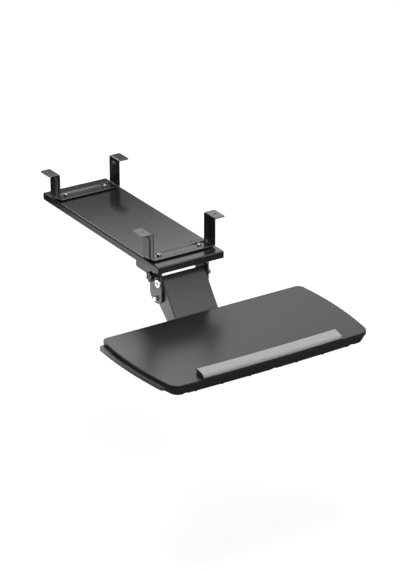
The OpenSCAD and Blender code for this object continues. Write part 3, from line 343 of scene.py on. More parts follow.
@dataclass(frozen=True)
class Finish:
    """One finish: a Principled surface with relief, smudges and rubbed edges.

    Relief scale is per metre, and relief depth and edge radius are in metres.
    """

    name: str
    colour: Colour
    roughness: float
    relief: Relief
    relief_scale: float
    relief_depth: float
    metallic: float = 0.0
    specular: float = 0.5
    ior: float = 1.5
    sheen: float = 0.0
    edge_radius: float = 0.0006
    edge_reach: float = 0.3
    edge_colour: Colour = (0.2, 0.2, 0.2)
    smudge: float = 0.06

    def build(self, effects: Effects) -> bpy.types.Material:
        """Builds the material.

        Args:
            effects: the shared shader groups.

        Returns:
            The material.
        """
        material = bpy.data.materials.new(self.name)
        material.use_nodes = True
        n = Nodes(material.node_tree)
        n.tree.nodes.clear()
        relief = self._group(n, getattr(effects, self.relief.value), Scale=self.relief_scale).outputs
        wear = self._group(n, effects.wear, Radius=self.edge_radius, Reach=self.edge_reach).outputs
        smudge = self._group(n, effects.smudge).outputs
        tone = n.add("ShaderNodeVectorMath", {0: self.colour, "Scale": relief["Shade"]}, operation="SCALE").outputs[0]
        dull, bright = self.roughness + self.smudge / 2, self.roughness - self.smudge / 2
        bump = {"Height": relief["Height"], "Distance": self.relief_depth, "Normal": wear["Normal"]}
        surface = {
            "Metallic": self.metallic,
            "IOR": self.ior,
            "Specular IOR Level": self.specular,
            "Sheen Weight": self.sheen,
            "Base Color": n.blend(wear["Mask"], tone, rgba(self.edge_colour)),
            "Roughness": n.span(smudge["Mask"], 0.0, 1.0, bright, dull),
            "Normal": n.add("ShaderNodeBump", bump).outputs[0],
        }
        n.add("ShaderNodeOutputMaterial", {"Surface": n.add("ShaderNodeBsdfPrincipled", surface).outputs[0]})
        return material

    @staticmethod
    def _group(n: Nodes, tree: bpy.types.NodeTree, **values: float) -> bpy.types.Node:
        """Places a shared group with this finish's own values.

        Args:
            n: the material's nodes.
            tree: the group.
            values: its inputs.

        Returns:
            The group node.
        """
        node = n.add("ShaderNodeGroup", node_tree=tree)
        for key, value in values.items():
            node.inputs[key].default_value = value
        return node


class Paint(Enum):
    """Every finish on the object."""

    TRACK = Finish("satin_black_track", (0.012, 0.012, 0.0123), 0.16, Relief.PEEL, 1100.0, 12e-6, edge_radius=0.001)
    STRAP = Finish(
        "satin_black_strap", (0.010, 0.010, 0.0103), 0.18, Relief.PEEL, 1100.0, 12e-6, ior=1.62, edge_radius=0.001
    )
    ARM = Finish("satin_black_arm", (0.048, 0.048, 0.049), 0.30, Relief.PEEL, 1000.0, 12e-6, smudge=0.02)
    BRIGHT = Finish(
        "bright_steel", (0.72, 0.72, 0.73), 0.22, Relief.BRUSHED, 1500.0, 6e-6, metallic=1.0, edge_reach=0.0
    )
    SCREW = Finish("dark_steel", (0.36, 0.36, 0.365), 0.2, Relief.BRUSHED, 1500.0, 6e-6, metallic=1.0, edge_reach=0.0)
    BLACKENED = Finish(
        "blackened_steel", (0.03, 0.03, 0.031), 0.4, Relief.BRUSHED, 1500.0, 6e-6, metallic=1.0, edge_reach=0.0
    )
    ZINC = Finish("dull_zinc", (0.30, 0.30, 0.31), 0.45, Relief.BRUSHED, 900.0, 10e-6, metallic=1.0, edge_reach=0.0)
    LAMINATE = Finish(
        "dark_laminate", (0.007, 0.007, 0.0072), 0.29, Relief.GRAIN, 1500.0, 6e-6,
        specular=0.46, edge_reach=0.0, smudge=0.02,
    )
    BAND = Finish(
        "edge_strip_black", (0.015, 0.015, 0.0154), 0.35, Relief.GRAIN, 1700.0, 10e-6, specular=0.15, edge_reach=0.0
    )
    SHELL = Finish("moulded_black", (0.009, 0.009, 0.0093), 0.40, Relief.GRAIN, 1300.0, 20e-6, specular=0.18)
    PLATFORM = Finish("moulded_grey", (0.07, 0.07, 0.071), 0.34, Relief.GRAIN, 1400.0, 20e-6, specular=0.4)
    GLOSS = Finish("gloss_black", (0.005, 0.005, 0.005), 0.16, Relief.PEEL, 500.0, 6e-6, specular=0.3)
    FRICTION = Finish("friction_black", (0.006, 0.006, 0.006), 0.6, Relief.GRAIN, 1200.0, 30e-6)
    NYLON = Finish("natural_nylon", (0.72, 0.71, 0.66), 0.45, Relief.GRAIN, 1000.0, 20e-6)
    RUBBER = Finish("black_rubber", (0.012, 0.012, 0.012), 0.7, Relief.GRAIN, 900.0, 50e-6, edge_reach=0.0)
    CLOTH = Finish(
        "grey_cloth", (0.318, 0.318, 0.322), 0.85, Relief.KNIT, 420.0, 60e-6,
        specular=0.2, sheen=0.1, edge_reach=0.0, smudge=0.03,
    )
    # The cover's cloth darkened to paint shade on the pad's end faces.
    PAD_END = Finish(
        "dark_cloth_end", (0.045, 0.045, 0.0455), 0.85, Relief.KNIT, 420.0, 60e-6,
        specular=0.2, edge_reach=0.0, smudge=0.03,
    )


NODE_PAINT: dict[Paint, tuple[str, ...]] = {
    Paint.TRACK: ("mounting_plate",),
    Paint.STRAP: ("front_hanger", "rear_hanger"),
    Paint.ARM: ("swivel_bracket", "arm_cover", "head_bracket", "link_bars", "tilt_plate"),
    Paint.BRIGHT: (
        "strap_screws", "strap_nuts", "swivel_bolt", "swivel_nut", "upper_pivot_bolt", "upper_pivot_nut",
        "lower_pivot_bolt", "lower_pivot_nut", "knob_screw", "head_bolts", "head_nuts", "tilt_bolt", "tilt_nut",
        "tray_screws",
    ),
    Paint.ZINC: (
        "left_rail", "right_rail", "carriage_plate", "swivel_washer", "stop_sleeves", "lower_spacer_tube", "knob_boss",
        "arm_upper_tube", "arm_lower_tube", "head_spacers", "mouse_rails",
    ),
    Paint.LAMINATE: ("tray_board",),
    Paint.BAND: ("edge_band",),
    Paint.SHELL: ("lower_shell_left", "lower_shell_right", "palm_rest_base"),
    Paint.PLATFORM: ("mouse_tray",),
    Paint.GLOSS: ("lock_knob",),
    Paint.FRICTION: ("friction_plates",),
    Paint.NYLON: ("glides", "swivel_ring", "head_washers"),
    Paint.RUBBER: ("rail_bumpers",),
    Paint.CLOTH: ("palm_rest",),
}


# Mesh helpers


def linked(name: str, data: bpy.types.ID) -> bpy.types.Object:
    """Makes an object for a mesh, lamp or camera and links it to the scene.

    Args:
        name: the object's name.
        data: its data.

    Returns:
        The object.
    """
    made = bpy.data.objects.new(name, data)
    bpy.context.scene.collection.objects.link(made)
    return made


def mesh_object(
    name: str, points: Sequence[Sequence[float]], faces: Sequence[Sequence[int]], crease: float = CREASE
) -> bpy.types.Object:
    """Makes a closed mesh object with outward normals, smooth but for its sharp edges.

    Args:
        name: the object's name.
        points: its points in metres.
        faces: its faces.
        crease: the angle in degrees past which an edge is sharp.

    Returns:
        The object, linked to the scene.
    """
    data = bpy.data.meshes.new(name)
    data.from_pydata([tuple(p) for p in points], [], [tuple(f) for f in faces])
    finish_mesh(data, crease)
    return linked(name, data)


def finish_mesh(data: bpy.types.Mesh, crease: float) -> None:
    """Merges doubles, turns the faces outwards and marks the sharp edges.

    Args:
        data: the mesh.
        crease: the angle in degrees past which an edge is sharp.
    """
    work = bmesh.new()
    work.from_mesh(data)
    bmesh.ops.remove_doubles(work, verts=work.verts, dist=MERGE)
    bmesh.ops.recalc_face_normals(work, faces=work.faces)
    work.to_mesh(data)
    work.free()
    data.polygons.foreach_set("use_smooth", [True] * len(data.polygons))
    data.set_sharp_from_angle(angle=math.radians(crease))
    data.update()


def loop_faces(rings: int, count: int) -> list[tuple[int, ...]]:
    """Returns the faces that join closed rings of points one after the other, with both ends capped.

    Args:
        rings: how many rings.
        count: points in each ring.

    Returns:
        The faces.
    """
    faces: list[tuple[int, ...]] = [tuple(range(count)), tuple((rings - 1) * count + j for j in range(count))]
    for k in range(rings - 1):
        for j in range(count):
            i = (j + 1) % count
            faces.append((k * count + j, k * count + i, (k + 1) * count + i, (k + 1) * count + j))
    return faces


def arc(centre: Point, radius: float, start: float, end: float, steps: int) -> list[Point]:
    """Returns the steps + 1 points along an arc between two angles in degrees."""
    turns = [math.radians(start + (end - start) * k / steps) for k in range(steps + 1)]
    return [(centre[0] + radius * math.cos(t), centre[1] + radius * math.sin(t)) for t in turns]


def apply_modifiers(piece: bpy.types.Object) -> None:
    """Puts the evaluated mesh in place of the piece's own and removes its modifiers.

    Args:
        piece: the piece.
    """
    graph = bpy.context.evaluated_depsgraph_get()
    result = bpy.data.meshes.new_from_object(piece.evaluated_get(graph))
    piece.modifiers.clear()
    old = piece.data
    piece.data = result
    bpy.data.meshes.remove(old)
    result.name = piece.name


def islands(data: bpy.types.Mesh) -> list[tuple[Vector, Vector]]:
    """Returns the lowest and highest corners of each separate solid in a CAD node's mesh.

    Args:
        data: the node's mesh, which is left as it is.

    Returns:
        One pair of corners for each solid, in order of place.
    """
    work = bmesh.new()
    work.from_mesh(data)
    bmesh.ops.remove_doubles(work, verts=work.verts, dist=MERGE)
    left = set(work.verts)
    found = []
    while left:
        front = [left.pop()]
        group = list(front)
        while front:
            for edge in front.pop().link_edges:
                for vert in edge.verts:
                    if vert in left:
                        left.remove(vert)
                        front.append(vert)
                        group.append(vert)
        places = np.array([v.co for v in group])
        found.append((Vector(places.min(0)), Vector(places.max(0))))
    work.free()
    return sorted(found, key=lambda pair: tuple(round(c, 4) for c in pair[0]))


class Form(Enum):
    """The outline of one ring of a turned piece."""

    ROUND = "round"
    HEX = "hex"
    STAR = "star"


@dataclass(frozen=True)
class Ring:
    """One ring of a turned piece: how far along the axis, its radius and its outline."""

    along: float
    radius: float
    form: Form = Form.ROUND


@dataclass(frozen=True)
class Star:
    """Outline of a lobed grip: round lobes on a round body, melted into each other."""

    reach: float
    lobes: int = 6
    lobe: float = 4.25
    valley: float = 9.7
    melt: float = 1.6

    def radius(self, turn: float) -> float:
        """Returns the outline's radius at an angle.

        Args:
            turn: the angle in radians.

        Returns:
            The radius in millimetres.
        """
        pitch = 2.0 * math.pi / self.lobes
        off = (turn + pitch / 2) % pitch - pitch / 2
        centre = self.reach - self.lobe
        under = self.lobe**2 - (centre * math.sin(off)) ** 2
        lobe = centre * math.cos(off) + math.sqrt(under) if under > 0 else 0.0
        return math.log(math.exp(lobe * self.melt) + math.exp(self.valley * self.melt)) / self.melt


@dataclass(frozen=True)
class Turned:
    """A piece made of rings on one axis, such as a bolt or a knob."""

    rings: tuple[Ring, ...]
    segments: int
    star: Star | None = None

    def build(self, name: str, origin: Vector, axis: Vector, side: Vector, start: float = 0.0) -> bpy.types.Object:
        """Makes the piece.

        Args:
            name: its name.
            origin: where the axis starts, in metres.
            axis: the way the rings go.
            side: a way square to the axis, where the outline starts.
            start: turn of the outline in degrees.

        Returns:
            The piece, linked to the scene.
        """
        other, first = axis.cross(side), math.radians(start)
        points = []
        for ring in self.rings:
            for k in range(self.segments):
                turn = 2.0 * math.pi * k / self.segments
                way = side * math.cos(turn + first) + other * math.sin(turn + first)
                points.append(origin + axis * ring.along * MM + way * self._radius(ring, turn) * MM)
        return mesh_object(name, points, loop_faces(len(self.rings), self.segments))

    def _radius(self, ring: Ring, turn: float) -> float:
        """Returns a ring's radius at an angle.

        Args:
            ring: the ring, whose own radius is over a hexagon's corners or a star's lobes.
            turn: the angle in radians.

        Returns:
            The radius in millimetres.
        """
        if ring.form is Form.HEX:
            half = math.pi / 6
            return ring.radius * math.cos(half) / math.cos((turn + half) % (2 * half) - half)
        if ring.form is Form.STAR and self.star:
            return self.star.radius(turn) - (self.star.reach - ring.radius)
        return ring.radius


@dataclass(frozen=True)
class SocketHead:
    """A screw or bolt with a hexagon socket in its head, on a shank with a chamfered end.

    The socket's radius is over its corners. Its drill point, its floor and its countersunk mouth are shares of it.
    """

    radius: float
    height: float
    socket: float
    depth: float
    edge: float
    shank: float
    chamfer: float
    drill_point: float = 0.12
    floor: float = 0.8
    mouth: float = 1.07
    mouth_deep: float = 0.35
    seat_edge: float = 0.3
    edge_steps: int = 6

    def rings(self, length: float) -> tuple[Ring, ...]:
        """Returns the rings from the socket's floor over the head and down the shank.

        Args:
            length: the shank's length under the head, whose bearing face lies at 0.

        Returns:
            The rings.
        """
        top, bottom = self.height, self.height - self.depth
        rim = arc((self.radius - self.edge, top - self.edge), self.edge, 90.0, 0.0, self.edge_steps)
        return (
            Ring(bottom - self.drill_point * self.socket, TIP),
            Ring(bottom, self.socket * self.floor),
            Ring(bottom, self.socket, Form.HEX),
            Ring(top - self.mouth_deep, self.socket, Form.HEX),
            Ring(top, self.socket * self.mouth),
            *(Ring(along, radius) for radius, along in rim),
            Ring(self.seat_edge, self.radius),
            Ring(0.0, self.radius - self.seat_edge),
            Ring(0.0, self.shank),
            Ring(self.chamfer - length, self.shank),
            Ring(-length, self.shank - self.chamfer),
        )


# Sub-assemblies


@dataclass
class PressedStrap:
    """A pressed steel hanger: two feet, two uprights and a base with a rounded bead pressed into it.

    Its section, across the strip's width, is drawn at stations along the strip's middle line.
    """

    node: str
    name: str
    y: float
    foot_half: float = 125.0
    leg: float = 93.5
    base: float = -75.75
    thick: float = 2.5
    width: float = 53.0
    bend: float = 3.3
    bead_half: float = 15.0
    bead_deep: float = 3.0
    bead_slope: float = 4.2
    bead_top: float = -26.0
    bead_slack: float = 0.5
    corner: float = 5.0
    edge: float = 1.15
    hole_x: float = 110.0
    hole_r: float = 2.75
    screw_x: float = 61.0
    screw_hole_r: float = 3.3
    drill_half: float = 8.0
    pitch: float = 2.2
    end_spots: tuple[float, ...] = (0.15, 0.5, 1.0, 1.7)
    bend_steps: int = 8
    edge_steps: int = 5
    width_steps: int = 40
    drill_sides: int = 32
    crease: float = 50.0

    def build(self) -> bpy.types.Object:
        """Makes the hanger.

        Returns:
            The hanger's object.
        """
        rows = [self._section(*station) for station in self._stations()]
        points = [point for row in rows for point in row]
        piece = mesh_object(self.name, points, loop_faces(len(rows), len(rows[0])), self.crease)
        self._drill(piece)
        return piece

    def dress(self, piece: bpy.types.Object, material: bpy.types.Material) -> None:
        """Paints the hanger and fixes it to the track.

        Args:
            piece: the hanger.
            material: its finish.
        """
        piece.data.materials.clear()
        piece.data.materials.append(material)
        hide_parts(self.node)
        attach(piece, "track")
        LOG.info("%s stands for %s", piece.name, self.node)

    def _middle_line(self) -> list[tuple[Vector, Vector]]:
        """Returns the strip's middle line from foot to foot, with its bends rounded.

        Returns:
            Each place, with the way that the strip's upper side faces there.
        """
        top = -self.thick / 2
        plan = (
            (-self.foot_half, top), (-self.leg, top), (-self.leg, self.base),
            (self.leg, self.base), (self.leg, top), (self.foot_half, top),
        )
        corners = [Vector((x, 0.0, z)) for x, z in plan]
        last = len(corners) - 2
        line: list[tuple[Vector, Vector]] = []
        for k, (a, b) in enumerate(zip(corners, corners[1:])):
            way = (b - a).normalized()
            normal = Vector((-way.z, 0.0, way.x))
            start = self.bend if k else 0.0
            length = (b - a).length - start - (self.bend if k < last else 0.0)
            line += [(a + way * (start + t), normal) for t in self._spread(length, k == 0, k == last)]
            if k < last:
                line += self._bend(b, way, normal, (corners[k + 2] - b).normalized())
        return line

    def _bend(self, corner: Vector, way: Vector, normal: Vector, after: Vector) -> list[tuple[Vector, Vector]]:
        """Returns the places round one bend.

        Args:
            corner: where the two straight runs would meet.
            way: the way the first run goes.
            normal: the way its upper side faces.
            after: the way the second run goes.

        Returns:
            Each place, with the way that the upper side faces there.
        """
        turn = 1.0 if way.cross(after).y < 0 else -1.0
        centre = corner - way * self.bend + normal * self.bend * turn
        out = -normal * turn
        places = []
        for j in range(1, self.bend_steps):
            angle = math.radians(90.0 * j / self.bend_steps)
            spoke = out * math.cos(angle) + way * math.sin(angle)
            places.append((centre + spoke * self.bend, -spoke * turn))
        return places

    def _stations(self) -> list[tuple[Vector, Vector, float, float]]:
        """Returns the places along the strip where its section is drawn, narrower at a foot's rounded corners.

        Returns:
            Each place, the way the upper side faces, half the width, and 1 where the bead may reach.
        """
        found = []
        for place, normal in self._middle_line():
            gap = self.foot_half - abs(place.x)
            inset = self.corner - math.sqrt(self.corner**2 - (self.corner - gap) ** 2) if gap < self.corner else 0.0
            beaded = 1.0 if abs(place.x) < self.leg + self.bead_slack else 0.0
            found.append((place, normal, self.width / 2 - inset, beaded))
        return found

    def _spread(self, length: float, first: bool, last: bool) -> list[float]:
        """Returns places along a straight run, closer together at a rounded foot's end.

        Args:
            length: the run's length.
            first: whether a foot starts here.
            last: whether a foot ends here.

        Returns:
            Distances from the run's start.
        """
        steps = max(2, round(length / self.pitch))
        spots = [length * k / steps for k in range(steps + 1)]
        if first:
            spots += self.end_spots
        if last:
            spots += [length - spot for spot in self.end_spots]
        return sorted(spots)

    def _section(self, place: Vector, normal: Vector, half: float, beaded: float) -> list[Vector]:
        """Returns the closed outline of the strip across its width at one station.

        Args:
            place: the strip's centre.
            normal: the way the upper side faces.
            half: half the width there.
            beaded: 1 where the bead may reach.

        Returns:
            The outline's points, in metres.
        """
        skin, steps = self.thick / 2, self.edge_steps
        share = half / (self.width / 2)
        inner = self.width / 2 - self.edge
        across = [-inner + 2 * inner * k / self.width_steps for k in range(self.width_steps + 1)]
        upper = [(t * share, skin - self._sink(t, place, beaded)) for t in across]
        lower = [(t * share, -skin - self._sink(t, place, beaded)) for t in reversed(across)]
        rim, side = skin - self.edge, half - self.edge
        right = arc((side, rim), self.edge, 90.0, 0.0, steps)[1:] + arc((side, -rim), self.edge, 0.0, -90.0, steps)[:-1]
        left = [(-t, h) for t, h in reversed(right)]
        return [(place + normal * h + Vector((0.0, self.y + t, 0.0))) * MM for t, h in upper + right + lower + left]

    def _sink(self, t: float, place: Vector, beaded: float) -> float:
        """Returns how deep the bead is pressed at a spot.

        Args:
            t: the spot's distance from the strip's middle line.
            place: the strip's centre there.
            beaded: 1 where the bead may reach.

        Returns:
            The depth.
        """
        over = max(0.0, place.z - self.bead_top)
        share = min(1.0, max(0.0, (self.bead_half - math.hypot(t, over)) / self.bead_slope))
        return beaded * self.bead_deep * share * share * (3.0 - 2.0 * share)

    def _drill(self, piece: bpy.types.Object) -> None:
        """Drills the holes in the feet and those for the strap screws.

        Args:
            piece: the hanger.
        """
        drills = []
        for x, z, radius in ((self.hole_x, 0.0, self.hole_r), (self.screw_x, self.base, self.screw_hole_r)):
            rod = Turned((Ring(-self.drill_half, radius), Ring(self.drill_half, radius)), self.drill_sides)
            for side in (-1.0, 1.0):
                drill = rod.build("drill", Vector((side * x, self.y, z)) * MM, UP, RIGHT)
                cut = piece.modifiers.new("hole", "BOOLEAN")
                cut.object = drill
                cut.operation = "DIFFERENCE"
                cut.solver = "EXACT"
                drills.append(drill)
        apply_modifiers(piece)
        for drill in drills:
            bpy.data.objects.remove(drill)
        finish_mesh(piece.data, self.crease)


@dataclass
class StarKnob:
    """The glossy lobed knob that locks the arm, on the left cheek.

    It is a round hub that widens into the lobes, with a blind bore. The inlay in its cap is given as pairs of depth
    and radius.
    """

    node: str = "lock_knob"
    name: str = "star_knob"
    bore: float = 4.05
    cap: float = 3.2
    hub: float = 7.4
    hub_high: float = 3.2
    hub_edge: float = 0.5
    hub_neck: tuple[float, float] = (0.6, 0.1)
    high: float = 13.7
    reach: float = 14.5
    rim: float = 1.7
    rim_steps: tuple[int, int] = (5, 6)
    lip: float = 7.1
    inlay: tuple[Point, ...] = ((0.25, 6.6), (0.95, 6.25), (0.9, 5.4), (0.55, 2.97), (0.42, TIP))
    sides: int = 144

    def build(self) -> bpy.types.Object:
        """Makes the knob on its CAD solid's axis.

        Returns:
            The knob's object.
        """
        low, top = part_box(self.node)
        origin = Vector((top.x, (low.y + top.y) / 2, (low.z + top.z) / 2))
        bottom = self.high - self.cap
        under = arc((self.rim, self.hub_high + self.rim), self.rim, 270.0, 180.0, self.rim_steps[0])
        over = arc((self.rim, self.high - self.rim), self.rim, 180.0, 90.0, self.rim_steps[1])
        rings = (
            Ring(bottom, TIP),
            Ring(bottom, self.bore),
            Ring(0.0, self.bore),
            Ring(0.0, self.hub - self.hub_edge),
            Ring(self.hub_edge, self.hub),
            Ring(self.hub_high - self.hub_neck[0], self.hub),
            Ring(self.hub_high - self.hub_neck[1], self.hub + self.hub_edge),
            *(Ring(along, self.reach - inset, Form.STAR) for inset, along in under + over),
            Ring(self.high, self.lip),
            *(Ring(self.high - sink, radius) for sink, radius in self.inlay),
        )
        return Turned(rings, self.sides, Star(self.reach)).build(self.name, origin, LEFT, UP)

    def dress(self, piece: bpy.types.Object, material: bpy.types.Material) -> None:
        """Paints the knob and fixes it to its own body.

        Args:
            piece: the knob.
            material: its finish.
        """
        piece.data.materials.append(material)
        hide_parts(self.node)
        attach(piece, "knob")
        LOG.info("%s stands for %s", piece.name, self.node)


@dataclass
class PivotBolt:
    """A through bolt with a turned head and a hexagon socket, on the left cheek; turn is in degrees."""

    node: str
    name: str
    head: SocketHead
    turn: float = 13.0
    sides: int = 72

    def build(self) -> bpy.types.Object:
        """Makes the bolt on its CAD solid's axis.

        Returns:
            The bolt's object.
        """
        low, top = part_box(self.node)
        origin = Vector((low.x + self.head.height * MM, (low.y + top.y) / 2, (low.z + top.z) / 2))
        rings = self.head.rings((top.x - origin.x) / MM)
        return Turned(rings, self.sides).build(self.name, origin, LEFT, UP, self.turn)

    def dress(self, piece: bpy.types.Object, material: bpy.types.Material) -> None:
        """Plates the bolt and fixes it to the bracket.

        Args:
            piece: the bolt.
            material: its finish.
        """
        piece.data.materials.append(material)
        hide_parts(self.node)
        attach(piece, "bracket")
        LOG.info("%s stands for %s", piece.name, self.node)


@dataclass
class ScrewSet:
    """Alike screws, set out by Geometry Nodes where a CAD node has its solids."""

    node: str
    name: str
    body: str
    heads_up: bool
    head: SocketHead
    seed: int
    sides: int = 36

    def build(self, solids: bpy.types.Mesh, material: bpy.types.Material) -> bpy.types.Object:
        """Sets out the screws.

        Args:
            solids: the CAD node's mesh.
            material: the screws' finish.

        Returns:
            One object with every screw as plain mesh.
        """
        by_length: dict[float, list[tuple[Vector, Vector]]] = {}
        for low, high in islands(solids):
            by_length.setdefault(round((high.z - low.z) / MM, 1), []).append((low, high))
        data = bpy.data.meshes.new(self.name)
        work = bmesh.new()
        for length in sorted(by_length):
            part = self._group(by_length[length], length, material)
            work.from_mesh(part.data)
            bpy.data.objects.remove(part)
        work.to_mesh(data)
        work.free()
        finish_mesh(data, CREASE)
        data.materials.append(material)
        return linked(self.name, data)

    def dress(self, piece: bpy.types.Object) -> None:
        """Fixes the screws to their body.

        Args:
            piece: the screws.
        """
        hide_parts(self.node)
        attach(piece, self.body)
        LOG.info("%s stands for %s", piece.name, self.node)

    def _group(
        self, group: list[tuple[Vector, Vector]], length: float, material: bpy.types.Material
    ) -> bpy.types.Object:
        """Sets out the screws of one length.

        Args:
            group: the corners of each CAD solid.
            length: the screws' whole length.
            material: their finish.

        Returns:
            An object with the screws as plain mesh.
        """
        rings = self.head.rings(length - self.head.height)
        model = Turned(rings, self.sides).build(f"{self.name}_model", Vector(), UP if self.heads_up else -UP, RIGHT)
        lift = self.head.height * MM
        seats = [
            ((low.x + high.x) / 2, (low.y + high.y) / 2, high.z - lift if self.heads_up else low.z + lift)
            for low, high in group
        ]
        data = bpy.data.meshes.new(f"{self.name}_seats")
        data.from_pydata(seats, [], [])
        piece = linked(f"{self.name}_{length}", data)
        tree, keys = screw_pattern()
        spread = piece.modifiers.new("screws", "NODES")
        spread.node_group = tree
        for key, value in (("Screw", model), ("Seed", self.seed), ("Finish", material)):
            spread[keys[key]] = value
        apply_modifiers(piece)
        bpy.data.objects.remove(model)
        return piece


def screw_pattern() -> tuple[bpy.types.NodeTree, dict[str, str]]:
    """Builds the tree that stands a screw on every point, each turned its own way.

    Returns:
        The tree, and each named input's identifier.
    """
    tree = bpy.data.node_groups.new("ScrewPattern", "GeometryNodeTree")
    keys = {
        name: tree.interface.new_socket(name, in_out="INPUT", socket_type=kind).identifier
        for name, kind in (
            ("Geometry", "NodeSocketGeometry"), ("Screw", "NodeSocketObject"),
            ("Seed", "NodeSocketInt"), ("Finish", "NodeSocketMaterial"),
        )
    }
    tree.interface.new_socket("Geometry", in_out="OUTPUT", socket_type="NodeSocketGeometry")
    n = Nodes(tree)
    given = n.add("NodeGroupInput").outputs
    shape = n.add("GeometryNodeObjectInfo", {"Object": given["Screw"]})
    turn = n.add("FunctionNodeRandomValue", {"Seed": given["Seed"], 3: math.tau}, data_type="FLOAT")
    way = n.add("ShaderNodeCombineXYZ", {2: turn.outputs[1]})
    stood = n.add(
        "GeometryNodeInstanceOnPoints",
        {"Points": given["Geometry"], "Instance": shape.outputs["Geometry"], "Rotation": way.outputs[0]},
    )
    real = n.add("GeometryNodeRealizeInstances", {0: stood.outputs[0]})
    painted = n.add("GeometryNodeSetMaterial", {"Geometry": real.outputs[0], "Material": given["Finish"]})
    n.add("NodeGroupOutput", {0: painted.outputs[0]})
    return tree, keys


@dataclass
class PalmPad:
    """The padded palm rest: foam under knitted cloth, crisp behind and well rounded in front.

    Its section, from front to back, is drawn at stations along the CAD solid's curved front edge. Points that lie
    near each other along X share one place on that edge.
    """

    solid: bpy.types.Mesh
    node: str = "palm_rest"
    name: str = "palm_rest_pad"
    near: float = 0.06
    depth: float = 32.9
    fall: float = 5.6
    shrink: float = 0.5
    rear_round: float = 1.6
    front_round: float = 6.5
    nose_lift: float = 0.9
    end_round: float = 1.8
    end_turns: tuple[float, ...] = (0.4, 0.8, 1.2, math.pi / 2)
    end_draw: tuple[float, float] = (34.0, 14.0)
    end_bulge: float = 0.15
    end_shares: tuple[float, ...] = (0.8, 0.55, 0.3, 0.08)
    end_shade_inset: float = 0.9
    foot_round: float = 0.9
    crown: float = 0.35
    stations: int = 150
    rear_steps: int = 5
    front_steps: int = 8
    foot_steps: int = 3
    top_steps: int = 9
    under_steps: int = 8
    wall_steps: int = 3
    swell: float = 0.7
    pressure: float = 4.0
    stretch: float = 40.0
    bending: float = 8.0
    foot_held: float = 0.8
    frames: int = 12

    def __post_init__(self) -> None:
        """Reads the CAD solid's box and its points, in millimetres."""
        self.low, self.high = (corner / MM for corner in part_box(self.node))
        self.half = (self.high.x - self.low.x) / 2 - self.shrink
        self.front = self._front_line()

    def build(self) -> bpy.types.Object:
        """Makes the pad and lets its cover swell a little.

        Returns:
            The pad's object.
        """
        rows = self._rows()
        points = [point for row in rows for point in row]
        piece = mesh_object(self.name, points, loop_faces(len(rows), len(rows[0])), SMOOTH)
        self._swell(piece)
        finer = piece.modifiers.new("finer", "SUBSURF")
        finer.levels = finer.render_levels = 1
        apply_modifiers(piece)
        piece.data.polygons.foreach_set("use_smooth", [True] * len(piece.data.polygons))
        return piece

    def dress(self, piece: bpy.types.Object, cover: bpy.types.Material, end: bpy.types.Material) -> None:
        """Covers the pad, with painted shade on its ends, and fixes it to the tray.

        Args:
            piece: the pad.
            cover: finish of the cover.
            end: the cover's cloth darkened as painted shade, for the faces at the pad's ends.
        """
        piece.data.materials.clear()
        for material in (cover, end):
            piece.data.materials.append(material)
        past = (self.half - self.end_shade_inset) * MM
        for face in piece.data.polygons:
            # Faces near the ends take the cloth darkened as painted shade.
            face.material_index = int(abs(face.center.x) > past)
        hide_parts(self.node)
        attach(piece, "tray")
        LOG.info("%s stands for %s", piece.name, self.node)

    def _front_line(self) -> tuple[list[float], list[float]]:
        """Returns the CAD solid's front edge.

        Returns:
            Places along X, and where the edge lies along Y at each.
        """
        along, forward = np.array([v.co for v in self.solid.vertices]).T[:2] / MM
        spots = sorted(set(np.round(along, 1)))
        return spots, [float(forward[np.abs(along - x) < self.near].min()) for x in spots]

    def _profile(self) -> list[Point]:
        """Returns the pad's closed section, in order round it.

        Returns:
            Points as depth from the front edge and height over the foot.
        """
        foot_r, rear_r, nose_r = self.foot_round, self.rear_round, self.front_round
        depth = self.depth - 2 * self.shrink
        back = self.high.z - self.low.z - self.shrink
        front = back - self.fall
        slope = math.degrees(math.atan2(back - front, depth))
        foot = arc((foot_r, foot_r), foot_r, 180.0, 270.0, self.foot_steps)
        heel = arc((depth - foot_r, foot_r), foot_r, 270.0, 360.0, self.foot_steps)
        rear = arc((depth - rear_r, back - rear_r), rear_r, 0.0, 90.0 + slope, self.rear_steps)
        nose = arc((nose_r, front - nose_r + self.nose_lift), nose_r, 90.0 + slope, 180.0, self.front_steps)
        a, b = rear[-1], nose[0]
        top = [
            (a[0] + (b[0] - a[0]) * t, a[1] + (b[1] - a[1]) * t + self.crown * 4 * t * (1 - t))
            for t in (k / self.top_steps for k in range(1, self.top_steps))
        ]
        run = heel[0][0] - foot[-1][0]
        under = [(foot[-1][0] + run * k / self.under_steps, 0.0) for k in range(1, self.under_steps)]
        rise = back - rear_r - foot_r
        wall = [(depth, foot_r + rise * k / self.wall_steps) for k in range(1, self.wall_steps)]
        return foot + under + heel + wall + rear + top + nose

    def _plan(self) -> list[tuple[float, float, float]]:
        """Returns the stations from end to end, closer together and drawn in at the rounded ends.

        Returns:
            Each station's place along X, how far its section is drawn in, and its share of the section's size.
        """
        straight = self.half - self.end_round
        body = [(straight * (-1 + 2 * k / self.stations), 0.0, 1.0) for k in range(self.stations + 1)]
        end = [
            (straight + self.end_round * math.sin(t), (1.0 - math.cos(t)) * self.end_round, 1.0) for t in self.end_turns
        ]
        end += [(self.half + self.end_bulge, self.end_round, share) for share in self.end_shares]
        return [(-x, cut, share) for x, cut, share in reversed(end)] + body + end

    def _rows(self) -> list[list[Vector]]:
        """Returns the pad's sections from end to end.

        Returns:
            The points of each section, in metres.
        """
        section = self._profile()
        middle_y, middle_z = (sum(values) / len(section) for values in zip(*section))
        rows = []
        for x, cut, share in self._plan():
            base = float(np.interp(x, *self.front)) + self.shrink
            wide, tall = (1 - 2 * cut / self.end_draw[0]) * share, (1 - cut / self.end_draw[1]) * share
            row = [
                Vector((x, base + middle_y + (y - middle_y) * wide, self.low.z + middle_z + (z - middle_z) * tall)) * MM
                for y, z in section
            ]
            rows.append(row)
        return rows

